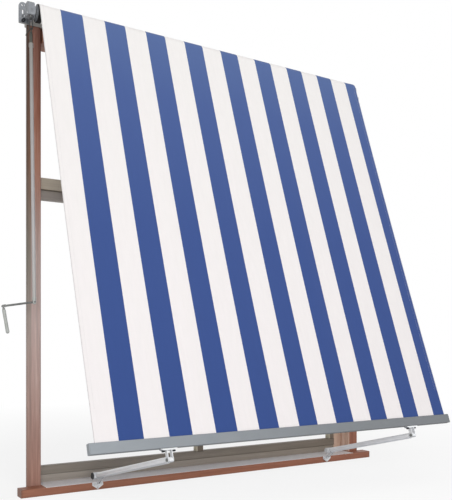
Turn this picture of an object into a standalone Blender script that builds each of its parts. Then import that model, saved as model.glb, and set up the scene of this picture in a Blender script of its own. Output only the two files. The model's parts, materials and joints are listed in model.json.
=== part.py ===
# Window awning with two pivot arms, on its timber window frame.
# Metres, +Z up. X runs along the window, -Y points outdoors, and the sill stands on Z = 0.
# The stiles' outer faces lie in the plane Y = 0 and the awning is centred on X = 0.

import math
import bmesh
import bpy
from mathutils import Matrix, Vector

# Clearances
SEAT = 0.0003              # between pieces that touch or are fixed together
RUNNING = 0.0005           # between pieces that turn on each other

# Timber window frame
WINDOW_CENTRE_X = 0.0475   # the window's middle, measured from the awning's middle
OPENING_MARGIN = 0.003     # opening between the stiles, wider than the cloth
STILE_WIDTH = 0.068
WALL_REBATE = 0.034        # outer back edge of the stiles and sill, cut away for the wall
STILE_FACE = 0.014         # timber left in front of that rebate
FRAME_DEPTH = 0.105
STILE_LENGTH = 2.036
HEAD_HEIGHT = 0.062
SILL_HEIGHT = 0.036
SILL_PROJECTION = 0.062    # sill nose in front of the stiles
SILL_HORN = 0.042          # sill past the stiles, each side
SILL_NOSE = 0.004
DRIP_WIDTH = 0.008
DRIP_DEPTH = 0.005
INNER_SETBACK = 0.060      # inner members behind the stiles' face
BOTTOM_RAIL_HEIGHT = 0.0362
TRANSOM_RISE = 1.286       # sill top to the underside of the transom
TRANSOM_LOWER_HEIGHT = 0.044
TRANSOM_UPPER_HEIGHT = 0.052
TRANSOM_LAP = 0.014        # upper member stands this far in front of the lower one
CENTRE_MULLION_WIDTH = 0.040
CENTRE_SHIFT = -0.010      # centre mullion, off the middle of the two lights
RIGHT_MULLION_WIDTH = 0.035
JAMB_LINING_WIDTH = 0.055
REBATE = 0.010             # glazing rebate, width and depth
TIMBER_EDGE = 0.0025       # eased edges

# Head rail that carries the roller brackets
RAIL_SIZE = 0.038
RAIL_WALL = 0.002
RAIL_HORN_RIGHT = 0.014    # rail past the right stile
RAIL_CAP = 0.003
RAIL_TAB = 0.035           # plate on the left cap, behind the gear bracket's flange
RAIL_TAB_THICKNESS = 0.006

# Roller, cloth
FABRIC_WIDTH = 1.800
FABRIC_THICKNESS = 0.001
FIRST_STRIPE = 0.0927
WHITE_STRIPE = 0.1047
BLUE_STRIPE = 0.0996
ROLLER_STANDOFF = 0.078    # roller's axis in front of the rail
ROLLER_RISE = 0.0224       # roller's axis above the rail's underside
TUBE_RADIUS = 0.035
TUBE_WALL = 0.0012
ROLL_THICKNESS = 0.0027    # the turns of cloth left on the tube
TUBE_STANDOUT = 0.004      # tube past the cloth at each end
PLUG_FLANGE = 0.006
PLUG_RADIUS = 0.026
PLUG_DEPTH = 0.030
DRIVE_RADIUS = 0.006       # shafts at both ends of the roller

# Gear: a worm on the crank's side and a worm wheel on the roller's
GEAR_MODULE = 0.002
WHEEL_TEETH = 13
WORM_PITCH_RADIUS = 0.0068
WHEEL_WIDTH = 0.008
WORM_LENGTH = 0.026
TOOTH_SHARE = 0.42         # tooth thickness as a share of the pitch
GEAR_GAP = 0.0040          # between the roller's end disc and the bracket's web
HOUSING_WIDTH = 0.0280
HOUSING_WALL = 0.0030
HOUSING_TOP_RADIUS = 0.020
COVER_THICKNESS = 0.0028
COVER_BOSS = 0.012
FLANGE_MARGIN = 0.0110     # flange past the gear's cover
FLANGE_THICKNESS = 0.005
FLANGE_BOTTOM = 0.002      # above the rail's underside
FLANGE_RISE = 0.0544       # top of the flange's arch above the rail
FLANGE_STEP = 0.022        # top of the flange beside the arch, above the rail
SCREW_HOLE = 0.0032
ARCH_WIDTH = 0.037
WEB_THICKNESS = 0.005
WEB_NOSE_RADIUS = 0.030
SLOT_WIDTH = 0.006
SLOT_LENGTH = 0.020
IDLER_PLATE_WIDTH = 0.040

# Crank
CRANK_TILT = math.radians(2.4)
EYE_HALF_WIDTH = 0.0070
EYE_LENGTH = 0.046         # centre line, top to bottom of the eye
EYE_WIRE = 0.0022
EYE_DROP = 0.040           # gear centre to the top of the eye
HOOK_WIRE = 0.0022
HOOK_SEAT = 0.0004         # hook above the eye's wire, at its crest
FERRULE_LENGTH = 0.050
FERRULE_TOP_RADIUS = 0.0050
ROD_RADIUS = 0.0075
ROD_LENGTH = 1.087
COLLAR_RADIUS = 0.0095
COLLAR_LENGTH = 0.020
CLEVIS_LENGTH = 0.030
CLEVIS_GAP = 0.0075
HANDLE_REACH = 0.131
HANDLE_DROOP = math.radians(9.0)
HANDLE_RADIUS = 0.0050
GRIP_LENGTH = 0.098
GRIP_RADIUS = 0.0075
GRIP_BORE = 0.0035
HANDLE_PIN_RADIUS = 0.0022
FORK_RADIUS = 0.0058       # forked end of the handle that holds the grip's spindle
FORK_DEPTH = 0.0140
FORK_GAP = 0.0075
SPINDLE_EYE = 0.0065       # spindle's eye, across the fork
SPINDLE_PIN_RADIUS = 0.0020

# Pivot arms
ARMS_CENTRE_X = 0.036
HUB_INSET = 0.224          # arms at the sill, inside the cloth's edges
TOE_IN = 0.038             # each arm's sideways step from the sill to the bar
BAR_SHIFT = -0.009         # both bar brackets, slid along the bar from the arms' middle
HUB_STANDOFF = 0.053       # hub axis in front of the sill
HUB_RISE = 0.040           # hub axis above the sill top
ARM_LENGTH = 0.670         # pivot to pivot, seen from the side
ARM_ELEVATION = math.radians(14.0)
ARM_TUBE_RADIUS = 0.0130
ARM_TUBE_WALL = 0.0013
HUB_RADIUS = 0.0150
HUB_WIDTH = 0.0400
HUB_WALL = 0.0020
HUB_FLOOR = 0.0050
HUB_CLEAR = 0.026          # hub axis to the end of the arm tube
SPIGOT_LENGTH = 0.035
PIN_RADIUS = 0.0050
PIN_HEAD = 0.0040
SPRING_WIRE = 0.0015
SPRING_RADIUS = 0.0092
SPRING_TURNS = 4
CAP_RADIUS = 0.0155
CAP_THICKNESS = 0.0050
EAR_THICKNESS = 0.0070
EAR_RADIUS = 0.0140
SHIELD_WIDTH = 0.052
SHIELD_THICKNESS = 0.005
SHIELD_SHOULDER = 0.014    # straight sides of the shield, down from its top
SHIELD_TIP = 0.031         # shield height
SHIELD_OFFSET = 0.022      # shield centre to the right of the hub
SHIELD_HOLE = 0.0022       # open hole above the shield's tip
GUSSET_LENGTH = 0.024      # stiffener across the shield, at the ear's root
GUSSET_DEPTH = 0.020
SCREW_RADIUS = 0.0042      # pan heads of the two screws into the sill
SCREW_HEAD = 0.0022
EYE_RADIUS = 0.0100
EYE_WIDTH = 0.0160
EYE_CLEAR = 0.018          # outer pin to the end of the arm tube
OUTER_PIN_RADIUS = 0.0040

# Front bar, in its own frame: the outer pin is the origin and the bar stands on it
BAR_OVERHANG = 0.023       # bar past the cloth's edges, caps included
BAR_BOTTOM = 0.0426        # bar underside above the pin
BAR_HEIGHT = 0.0414
BAR_FRONT = 0.0140         # outer face in front of the pin
BAR_BACK = 0.0100          # inner face behind the pin
BAR_WALL = 0.0018
CLOTH_OFFSET = 0.0090      # cloth plane in front of the pin
GROOVE_RADIUS = 0.0033
GROOVE_MOUTH = 0.0022
GROOVE_DEPTH = 0.0055      # groove centre below the bar's top
WELT_RADIUS = 0.0024
SLOT_MOUTH = 0.0068        # bolt slot in the underside
SLOT_CHAMBER = 0.0120
SLOT_CHAMBER_HEIGHT = 0.0060
BAR_CAP = 0.0035
BRACKET_WIDTH = 0.068
BRACKET_THICKNESS = 0.0070
BRACKET_TAPER = 0.010
LUG_THICKNESS = 0.0030
LUG_RADIUS = 0.0095
BOLT_SPACING = 0.045
BOLT_HEAD_RADIUS = 0.0055
BOLT_HEAD = 0.0045

# Colours: sRGB, metallic, roughness
FINISHES = {
    "stained_timber": ((0.53, 0.33, 0.25), 0.0, 0.55),
    "grey_timber": ((0.47, 0.43, 0.38), 0.0, 0.65),
    "tan_timber": ((0.76, 0.58, 0.48), 0.0, 0.60),
    "grey_paint": ((0.53, 0.54, 0.55), 0.2, 0.45),
    "cast_aluminium": ((0.62, 0.63, 0.64), 0.8, 0.45),
    "bright_aluminium": ((0.80, 0.81, 0.82), 0.9, 0.25),
    "anodised_bar": ((0.60, 0.62, 0.64), 0.6, 0.40),
    "black_plastic": ((0.07, 0.07, 0.08), 0.0, 0.50),
    "grey_plastic": ((0.62, 0.63, 0.62), 0.0, 0.45),
    "steel": ((0.45, 0.45, 0.44), 0.9, 0.35),
    "brass": ((0.72, 0.58, 0.30), 0.9, 0.35),
    "white_canvas": ((0.95, 0.95, 0.94), 0.0, 0.90),
    "blue_canvas": ((0.26, 0.36, 0.62), 0.0, 0.90),
}

PARTS = None
CUTTERS = None
IDENTITY = Matrix.Identity(4)


# Scene, materials and the three ways of making a solid

def clear_scene():
    for item in list(bpy.data.objects):
        bpy.data.objects.remove(item, do_unlink=True)


def new_collection(name):
    collection = bpy.data.collections.new(name)
    bpy.context.scene.collection.children.link(collection)
    return collection


def linear(channel):
    if channel <= 0.04045:
        return channel / 12.92
    return ((channel + 0.055) / 1.055) ** 2.4


def finish(name):
    material = bpy.data.materials.get(name)
    if material is None:
        colour, metallic, roughness = FINISHES[name]
        material = bpy.data.materials.new(name)
        material.use_nodes = True
        shader = material.node_tree.nodes["Principled BSDF"]
        shader.inputs["Base Color"].default_value = [linear(c) for c in colour] + [1.0]
        shader.inputs["Metallic"].default_value = metallic
        shader.inputs["Roughness"].default_value = roughness
    return material


def add_object(name, mesh, material, frame=IDENTITY, parent=None):
    mesh.shade_smooth()
    mesh.set_sharp_from_angle(angle=math.radians(35))
    item = bpy.data.objects.new(name, mesh)
    mesh.materials.append(finish(material))
    PARTS.objects.link(item)
    item.parent = parent
    item.matrix_local = frame
    return item


def axes(location, x_axis, y_axis):
    # Frame whose X and Y run along the two directions given
    x_dir = Vector(x_axis).normalized()
    z_dir = x_dir.cross(Vector(y_axis)).normalized()
    y_dir = z_dir.cross(x_dir)
    turn = Matrix((x_dir, y_dir, z_dir)).transposed().to_4x4()
    return Matrix.Translation(location) @ turn


def ease(item, width, segments=1):
    bevel = item.modifiers.new("Eased edges", "BEVEL")
    bevel.width = width
    bevel.segments = segments
    bevel.limit_method = "ANGLE"
    bevel.angle_limit = math.radians(50)
    return item


def box(name, material, low, high, edge=0.0, frame=IDENTITY, parent=None):
    size = [b - a for a, b in zip(low, high)]
    middle = [(a + b) / 2 for a, b in zip(low, high)]
    grid = bmesh.new()
    bmesh.ops.create_cube(grid, size=1.0)
    bmesh.ops.scale(grid, vec=size, verts=grid.verts)
    mesh = bpy.data.meshes.new(name)
    grid.to_mesh(mesh)
    grid.free()
    item = add_object(name, mesh, material, frame @ Matrix.Translation(middle), parent)
    if edge:
        ease(item, edge)
    return item


def outline_mesh(name, loops, thickness):
    # A flat outline with holes, extruded half its thickness to each side of local Z = 0
    curve = bpy.data.curves.new(name, "CURVE")
    curve.dimensions = "2D"
    curve.fill_mode = "BOTH"
    curve.extrude = thickness / 2
    for points in loops:
        spline = curve.splines.new("POLY")
        spline.points.add(len(points) - 1)
        for target, point in zip(spline.points, points):
            target.co = (point[0], point[1], 0.0, 1.0)
        spline.use_cyclic_u = True
    return mesh_from_curve(curve)


def mesh_from_curve(curve):
    carrier = bpy.data.objects.new("outline", curve)
    CUTTERS.objects.link(carrier)
    bpy.context.view_layer.update()
    evaluated = carrier.evaluated_get(bpy.context.evaluated_depsgraph_get())
    mesh = bpy.data.meshes.new_from_object(evaluated)
    bpy.data.objects.remove(carrier, do_unlink=True)
    bpy.data.curves.remove(curve)
    grid = bmesh.new()
    grid.from_mesh(mesh)
    bmesh.ops.remove_doubles(grid, verts=grid.verts, dist=0.00001)
    bmesh.ops.recalc_face_normals(grid, faces=grid.faces)
    grid.to_mesh(mesh)
    grid.free()
    return mesh


def plate(name, material, loops, thickness, frame=IDENTITY, parent=None, edge=0.0):
    item = add_object(name, outline_mesh(name, loops, thickness), material, frame, parent)
    if edge:
        ease(item, edge)
    return item


def turned_mesh(name, profile, steps):
    # Profile points (radius, height) run down the outer side, from the top to the bottom
    grid = bmesh.new()
    verts = [grid.verts.new((radius, 0.0, height)) for radius, height in profile]
    closed = profile[0][0] > 0.0
    for first, second in zip(verts, verts[1:]):
        grid.edges.new((first, second))
    if closed:
        grid.edges.new((verts[-1], verts[0]))
    mesh = bpy.data.meshes.new(name)
    grid.to_mesh(mesh)
    grid.free()
    carrier = bpy.data.objects.new("profile", mesh)
    CUTTERS.objects.link(carrier)
    screw = carrier.modifiers.new("Turn", "SCREW")
    screw.steps = steps
    screw.render_steps = steps
    screw.use_merge_vertices = True
    screw.merge_threshold = 0.00001
    bpy.context.view_layer.update()
    evaluated = carrier.evaluated_get(bpy.context.evaluated_depsgraph_get())
    solid = bpy.data.meshes.new_from_object(evaluated)
    bpy.data.objects.remove(carrier, do_unlink=True)
    bpy.data.meshes.remove(mesh)
    return solid


def turned(name, material, profile, frame=IDENTITY, parent=None, steps=24):
    return add_object(name, turned_mesh(name, profile, steps), material, frame, parent)


def wire_mesh(name, points, radius, closed=False, resolution=2):
    curve = bpy.data.curves.new(name, "CURVE")
    curve.dimensions = "3D"
    curve.bevel_depth = radius
    curve.bevel_resolution = resolution
    curve.use_fill_caps = True
    spline = curve.splines.new("POLY")
    spline.points.add(len(points) - 1)
    for target, point in zip(spline.points, points):
        target.co = (*point, 1.0)
    spline.use_cyclic_u = closed
    return mesh_from_curve(curve)


def wire(name, material, points, radius, frame=IDENTITY, parent=None, closed=False, resolution=2):
    mesh = wire_mesh(name, points, radius, closed, resolution)
    return add_object(name, mesh, material, frame, parent)


def combine(item, tool_mesh, frame, operation):
    # Joins a mesh to a piece, or cuts it away; the frame is in the piece's own coordinates
    tool = bpy.data.objects.new(item.name + "_tool", tool_mesh)
    CUTTERS.objects.link(tool)
    tool.parent = item
    tool.matrix_local = frame
    tool.hide_render = True
    tool.display_type = "WIRE"
    modifier = item.modifiers.new(operation.title(), "BOOLEAN")
    modifier.operation = operation
    modifier.solver = "EXACT"
    modifier.object = tool
    return tool


def cylinder_mesh(name, radius, length, steps=24):
    half = length / 2
    return turned_mesh(name, [(0.0, half), (radius, half), (radius, -half), (0.0, -half)], steps)


def drill(item, radius, length, frame, steps=24):
    return combine(item, cylinder_mesh("drill", radius, length, steps), frame, "DIFFERENCE")


def arc(centre, radius, start, end, count):
    # Points on an arc, angles in degrees, both ends included
    points = []
    for i in range(count + 1):
        angle = math.radians(start + (end - start) * i / count)
        points.append((centre[0] + radius * math.cos(angle), centre[1] + radius * math.sin(angle)))
    return points


def circle(centre, radius, count=16):
    return arc(centre, radius, 0.0, 360.0, count)[:-1]


def slot(centre, width, length, turn=0.0, count=4):
    # A slot with round ends, its length along Y before it is turned
    half = (length - width) / 2
    points = arc((0.0, half), width / 2, 0.0, 180.0, count)
    points += arc((0.0, -half), width / 2, 180.0, 360.0, count)
    cos, sin = math.cos(math.radians(turn)), math.sin(math.radians(turn))
    return [(centre[0] + x * cos - y * sin, centre[1] + x * sin + y * cos) for x, y in points]


def rounded(low, high, radius, count=3):
    # A rectangle with round corners; one radius, or four from the lower left, anticlockwise
    radii = radius if isinstance(radius, tuple) else (radius,) * 4
    corners = ((low[0], low[1], 1, 1, 180), (high[0], low[1], -1, 1, 270),
               (high[0], high[1], -1, -1, 0), (low[0], high[1], 1, -1, 90))
    points = []
    for (x, y, side, rise, start), r in zip(corners, radii):
        points += arc((x + side * r, y + rise * r), r, start, start + 90, count)
    return points


def tangent_nose(corner_a, corner_b, centre, radius, count=14):
    # Outline of a flat end between two corners and a round nose, joined by tangents.
    # Seen with the nose on the left of the flat end, corner_a is the lower and corner_b the upper.
    def touch(corner, side):
        reach = Vector(corner) - Vector(centre)
        swing = side * math.acos(radius / reach.length)
        return math.degrees(math.atan2(reach.y, reach.x) + swing)
    start = touch(corner_b, 1.0)
    end = touch(corner_a, -1.0)
    while end < start:
        end += 360.0
    return [corner_a, corner_b] + arc(centre, radius, start, end, count)


def empty(name, location, turn_x=0.0, parent=None):
    marker = bpy.data.objects.new(name, None)
    PARTS.objects.link(marker)
    marker.empty_display_size = 0.05
    marker.location = location
    marker.rotation_euler = (turn_x, 0.0, 0.0)
    marker.parent = parent
    return marker


# Places worked out from the driving sizes

OPENING_WIDTH = FABRIC_WIDTH + OPENING_MARGIN
HUB_SPACING = FABRIC_WIDTH - 2 * HUB_INSET
BAR_SPACING = HUB_SPACING - 2 * TOE_IN
BAR_ARMS_X = ARMS_CENTRE_X + BAR_SHIFT
BAR_LENGTH = FABRIC_WIDTH + 2 * BAR_OVERHANG
SILL_TOP = SILL_HEIGHT
STILE_TOP = SILL_TOP + SEAT + STILE_LENGTH
LEFT_STILE_X = WINDOW_CENTRE_X - OPENING_WIDTH / 2
RIGHT_STILE_X = WINDOW_CENTRE_X + OPENING_WIDTH / 2
INNER_BACK = FRAME_DEPTH
RAIL_LOW = STILE_TOP + SEAT
RAIL_HIGH = RAIL_LOW + RAIL_SIZE
RAIL_LEFT = LEFT_STILE_X - STILE_WIDTH
RAIL_RIGHT = RIGHT_STILE_X + STILE_WIDTH + RAIL_HORN_RIGHT
ROLLER_AXIS_Y = -ROLLER_STANDOFF
ROLLER_AXIS_Z = RAIL_LOW + ROLLER_RISE
ROLL_RADIUS = TUBE_RADIUS + SEAT + ROLL_THICKNESS
HUB_Y = -SILL_PROJECTION - HUB_STANDOFF
HUB_Z = SILL_TOP + HUB_RISE
PIN_Y = HUB_Y - ARM_LENGTH * math.cos(ARM_ELEVATION)
PIN_Z = HUB_Z + ARM_LENGTH * math.sin(ARM_ELEVATION)
WEB_LEFT_X = -FABRIC_WIDTH / 2 - TUBE_STANDOUT - PLUG_FLANGE - RUNNING - GEAR_GAP - WEB_THICKNESS
GEAR_LEFT_X = WEB_LEFT_X - RUNNING - HOUSING_WIDTH
FLANGE_LEFT_X = GEAR_LEFT_X - FLANGE_MARGIN
FLANGE_TOP_Z = RAIL_HIGH + FLANGE_RISE
WHEEL_PITCH_RADIUS = GEAR_MODULE * WHEEL_TEETH / 2
GEAR_CENTRES = WHEEL_PITCH_RADIUS + WORM_PITCH_RADIUS
GEAR_MIDDLE_X = GEAR_LEFT_X + (COVER_THICKNESS + HOUSING_WIDTH - HOUSING_WALL) / 2
WORM_CENTRE = Vector((GEAR_MIDDLE_X,
                      ROLLER_AXIS_Y - GEAR_CENTRES * math.cos(CRANK_TILT),
                      ROLLER_AXIS_Z + GEAR_CENTRES * math.sin(CRANK_TILT)))
EYE_TOP = -EYE_DROP
EYE_BOTTOM = EYE_TOP - EYE_LENGTH
FERRULE_TOP = EYE_BOTTOM - 0.010
ROD_TOP = FERRULE_TOP - FERRULE_LENGTH
ROD_BOTTOM = ROD_TOP - ROD_LENGTH
HANDLE_Z = ROD_BOTTOM - CLEVIS_LENGTH + HANDLE_RADIUS + 0.004


def cloth_lean():
    # Angle between the cloth and the vertical: the common tangent of the roll and the bar's offset
    reach = ROLLER_AXIS_Y - PIN_Y
    drop = ROLLER_AXIS_Z - PIN_Z
    sheet_radius = ROLL_RADIUS + SEAT + FABRIC_THICKNESS / 2
    return math.atan2(reach, drop) - math.asin((sheet_radius - CLOTH_OFFSET) / math.hypot(reach, drop))


CLOTH_LEAN = cloth_lean()


# Timber window frame

def add_sill():
    left = LEFT_STILE_X - STILE_WIDTH - SILL_HORN
    right = RIGHT_STILE_X + STILE_WIDTH + SILL_HORN
    # Section: nose with eased corners and a drip groove under it, horns cut back to the wall's face
    drip_back = -SILL_PROJECTION + 0.024
    section = [(FRAME_DEPTH, 0.0), (FRAME_DEPTH, SILL_TOP)]
    section += arc((-SILL_PROJECTION + SILL_NOSE, SILL_TOP - SILL_NOSE), SILL_NOSE, 90, 180, 3)
    section += arc((-SILL_PROJECTION + SILL_NOSE, SILL_NOSE), SILL_NOSE, 180, 270, 3)
    section += [(drip_back - DRIP_WIDTH, 0.0), (drip_back - DRIP_WIDTH, DRIP_DEPTH)]
    section += [(drip_back, DRIP_DEPTH), (drip_back, 0.0)]
    frame = axes(((left + right) / 2, 0.0, 0.0), (0.0, 1.0, 0.0), (0.0, 0.0, 1.0))
    sill = plate("sill", "stained_timber", [section], right - left, frame)
    past = 0.02                # the cutters reach this far out of the timber
    for side in (-1.0, 1.0):
        for front, reach in ((0.0, SILL_HORN), (STILE_FACE, SILL_HORN + WALL_REBATE)):
            notch = outline_mesh("horn_notch", [[(front, -past), (FRAME_DEPTH + past, -past),
                                                 (FRAME_DEPTH + past, SILL_HEIGHT + past),
                                                 (front, SILL_HEIGHT + past)]], 2 * reach)
            combine(sill, notch, Matrix.Translation((0.0, 0.0, side * (right - left) / 2)), "DIFFERENCE")


def add_stiles():
    low_z = SILL_TOP + SEAT
    for name, inner, side in (("left_stile", LEFT_STILE_X, -1.0), ("right_stile", RIGHT_STILE_X, 1.0)):
        outer = inner + side * STILE_WIDTH
        rebate_y = INNER_SETBACK - 0.012
        # Section with an eased front arris, a rebate that the inner members stop against, and one for the wall
        wall_x = outer - side * WALL_REBATE
        section = [(outer, 0.0), (outer, STILE_FACE), (wall_x, STILE_FACE), (wall_x, FRAME_DEPTH),
                   (inner, FRAME_DEPTH), (inner, rebate_y),
                   (inner + side * 0.004, rebate_y - 0.004), (inner + side * 0.004, 0.006),
                   (inner + side * 0.010, 0.0)]
        frame = Matrix.Translation((0.0, 0.0, low_z + STILE_LENGTH / 2))
        plate(name, "stained_timber", [section], STILE_LENGTH, frame)


def rail_section(depth_low, depth_high, low_z, high_z, rebate_top, rebate_bottom):
    # Section in (y, z) of an inner rail: rebates for the light at the back, on the edges asked for
    back = depth_high
    points = [(depth_low, low_z), (back - REBATE, low_z)]
    if rebate_bottom:
        points += [(back - REBATE, low_z + REBATE), (back, low_z + REBATE)]
    else:
        points += [(back, low_z)]
    if rebate_top:
        points += [(back, high_z - REBATE), (back - REBATE, high_z - REBATE)]
    else:
        points += [(back, high_z)]
    points += [(back - REBATE, high_z), (depth_low + 0.004, high_z), (depth_low, high_z - 0.004)]
    return points


def add_rail(name, left, right, section, material):
    frame = axes(((left + right) / 2, 0.0, 0.0), (0.0, 1.0, 0.0), (0.0, 0.0, 1.0))
    plate(name, material, [section], right - left, frame)


def mullion_section(left, right, front, back, rebate_left, rebate_right):
    points = [(left + 0.004, front), (right - 0.004, front), (right, front + 0.004)]
    if rebate_right:
        points += [(right, back - REBATE), (right - REBATE, back - REBATE), (right - REBATE, back)]
    else:
        points += [(right, back)]
    if rebate_left:
        points += [(left + REBATE, back), (left + REBATE, back - REBATE), (left, back - REBATE)]
    else:
        points += [(left, back)]
    return points + [(left, front + 0.004)]


def add_inner_frame():
    left = LEFT_STILE_X + SEAT
    right = RIGHT_STILE_X - SEAT
    lining = right - JAMB_LINING_WIDTH
    rail_right = lining - SEAT
    front = INNER_SETBACK
    back = INNER_BACK
    head_low = STILE_TOP - HEAD_HEIGHT
    box("window_head", "stained_timber", (left, 0.0, head_low), (right, FRAME_DEPTH, STILE_TOP), TIMBER_EDGE)

    lower_low = SILL_TOP + SEAT
    lower_high = lower_low + BOTTOM_RAIL_HEIGHT
    upper_low = lower_high + SEAT
    upper_high = upper_low + BOTTOM_RAIL_HEIGHT
    lower = rail_section(front + 0.004, back, lower_low, lower_high, False, False)
    upper = rail_section(front, back, upper_low, upper_high, True, False)
    add_rail("bottom_rail_lower", left, rail_right, lower, "grey_timber")
    add_rail("bottom_rail_upper", left, rail_right, upper, "grey_timber")

    transom_low = SILL_TOP + TRANSOM_RISE
    transom_split = transom_low + TRANSOM_LOWER_HEIGHT
    transom_high = transom_split + SEAT + TRANSOM_UPPER_HEIGHT
    lower = rail_section(front, back, transom_low, transom_split, False, True)
    upper = rail_section(front - TRANSOM_LAP, back, transom_split + SEAT, transom_high, True, False)
    add_rail("transom_lower", left, rail_right, lower, "grey_timber")
    add_rail("transom_upper", left, rail_right, upper, "tan_timber")

    light = (rail_right - left - CENTRE_MULLION_WIDTH - RIGHT_MULLION_WIDTH) / 2
    centre_left = left + light + CENTRE_SHIFT
    centre_right = centre_left + CENTRE_MULLION_WIDTH
    right_left = rail_right - RIGHT_MULLION_WIDTH
    spans = (("lower", upper_high + SEAT, transom_low - SEAT),
             ("upper", transom_high + SEAT, head_low - SEAT))
    for level, low_z, high_z in spans:
        frame = Matrix.Translation((0.0, 0.0, (low_z + high_z) / 2))
        section = mullion_section(centre_left, centre_right, front, back, True, True)
        plate("centre_mullion_" + level, "grey_timber", [section], high_z - low_z, frame)
        section = mullion_section(right_left, rail_right, front, back, True, False)
        plate("right_mullion_" + level, "grey_timber", [section], high_z - low_z, frame)
    low_z = SILL_TOP + SEAT
    high_z = head_low - SEAT
    frame = Matrix.Translation((0.0, 0.0, (low_z + high_z) / 2))
    section = mullion_section(lining, right, front, back, False, False)
    plate("right_jamb_lining", "tan_timber", [section], high_z - low_z, frame)


# Head rail and the roller's brackets

def add_head_rail():
    corner = 0.003
    outer = rounded((0.0, RAIL_LOW), (RAIL_SIZE, RAIL_HIGH), corner, 2)
    inner = rounded((RAIL_WALL, RAIL_LOW + RAIL_WALL), (RAIL_SIZE - RAIL_WALL, RAIL_HIGH - RAIL_WALL),
                    corner - RAIL_WALL + 0.0005, 1)
    left = RAIL_LEFT + RAIL_CAP
    right = RAIL_RIGHT - RAIL_CAP
    frame = axes(((left + right) / 2, 0.0, 0.0), (0.0, 1.0, 0.0), (0.0, 0.0, 1.0))
    plate("head_rail", "grey_paint", [outer, inner], right - left - 2 * SEAT, frame)
    plug_low = (RAIL_WALL + RUNNING, RAIL_LOW + RAIL_WALL + RUNNING)
    plug_high = (RAIL_SIZE - RAIL_WALL - RUNNING, RAIL_HIGH - RAIL_WALL - RUNNING)
    plug_depth = 0.012
    for name, end, side in (("left_rail_cap", RAIL_LEFT, 1.0), ("right_rail_cap", RAIL_RIGHT, -1.0)):
        frame = axes((end + side * RAIL_CAP / 2, 0.0, 0.0), (0.0, 1.0, 0.0), (0.0, 0.0, 1.0))
        cap = plate(name, "grey_paint", [outer], RAIL_CAP, frame)
        plug = outline_mesh("plug", [rounded(plug_low, plug_high, 0.002, 1)], plug_depth)
        reach = side * (plug_depth / 2)
        combine(cap, plug, Matrix.Translation((0.0, 0.0, reach)), "UNION")
        if side > 0.0:
            # The left cap runs on as a plate behind the gear bracket's flange
            low, high = (0.0002, RAIL_LOW + 0.001), (RAIL_TAB_THICKNESS, RAIL_HIGH - 0.001)
            tab = outline_mesh("tab", [rounded(low, high, 0.001, 1)], RAIL_TAB + RAIL_CAP / 2)
            combine(cap, tab, Matrix.Translation((0.0, 0.0, -(RAIL_TAB + RAIL_CAP / 2) / 2)), "UNION")


def bracket_web(name, web_x, hole_radius, flange_loops):
    # A wall flange in the XZ plane and a web in the YZ plane with a nose round the roller's axis
    flange_y = -SEAT - FLANGE_THICKNESS / 2
    frame = axes((0.0, flange_y, 0.0), (1.0, 0.0, 0.0), (0.0, 0.0, 1.0))
    bracket = plate(name, "cast_aluminium", flange_loops, FLANGE_THICKNESS, frame)
    root_y = -SEAT - FLANGE_THICKNESS / 2
    low_corner = (root_y, RAIL_LOW + FLANGE_BOTTOM + 0.001)
    high_corner = (root_y, RAIL_HIGH + FLANGE_STEP - 0.004)
    nose = tangent_nose(low_corner, high_corner, (ROLLER_AXIS_Y, ROLLER_AXIS_Z), WEB_NOSE_RADIUS)
    hole = circle((ROLLER_AXIS_Y, ROLLER_AXIS_Z), hole_radius, 16)
    web = outline_mesh("web", [nose, hole], WEB_THICKNESS)
    web_frame = axes((web_x + WEB_THICKNESS / 2, 0.0, 0.0), (0.0, 1.0, 0.0), (0.0, 0.0, 1.0))
    combine(bracket, web, frame.inverted() @ web_frame, "UNION")
    return bracket


def add_gear_bracket():
    web_right = WEB_LEFT_X + WEB_THICKNESS
    arch_right = FLANGE_LEFT_X + ARCH_WIDTH
    arch_radius = ARCH_WIDTH / 2
    arch_centre = (FLANGE_LEFT_X + arch_radius, FLANGE_TOP_Z - arch_radius)
    low_z = RAIL_LOW + FLANGE_BOTTOM
    step_z = RAIL_HIGH + FLANGE_STEP
    outline = [(FLANGE_LEFT_X, low_z), (web_right, low_z), (web_right, step_z), (arch_right, step_z + 0.006)]
    outline += arc(arch_centre, arch_radius, 0, 180, 10)
    middle_x = arch_centre[0]
    loops = [outline,
             slot((middle_x - 0.001, RAIL_HIGH + 0.012), SLOT_WIDTH, SLOT_LENGTH, 0.0),
             slot((middle_x - 0.004, FLANGE_TOP_Z - 0.014), SLOT_WIDTH, 0.010, 40.0),
             circle((middle_x - 0.003, RAIL_HIGH - 0.009), SCREW_HOLE, 12)]
    bracket_web("gear_bracket", WEB_LEFT_X, DRIVE_RADIUS + RUNNING, loops)
    # The square-headed clamp bolt, turned a little off square, with its black washer
    bolt_x = middle_x + 0.001
    bolt_z = RAIL_LOW + 0.012
    frame = axes((bolt_x, -SEAT - FLANGE_THICKNESS - SEAT - 0.0025, bolt_z), (1.0, 0.0, 0.0), (0.0, 0.0, 1.0))
    ring = [slot((0.0, 0.0), 0.014, 0.021, -35.0), slot((0.0, 0.0), 0.005, 0.011, -35.0)]
    plate("clamp_washer", "black_plastic", ring, 0.005, frame)


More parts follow.
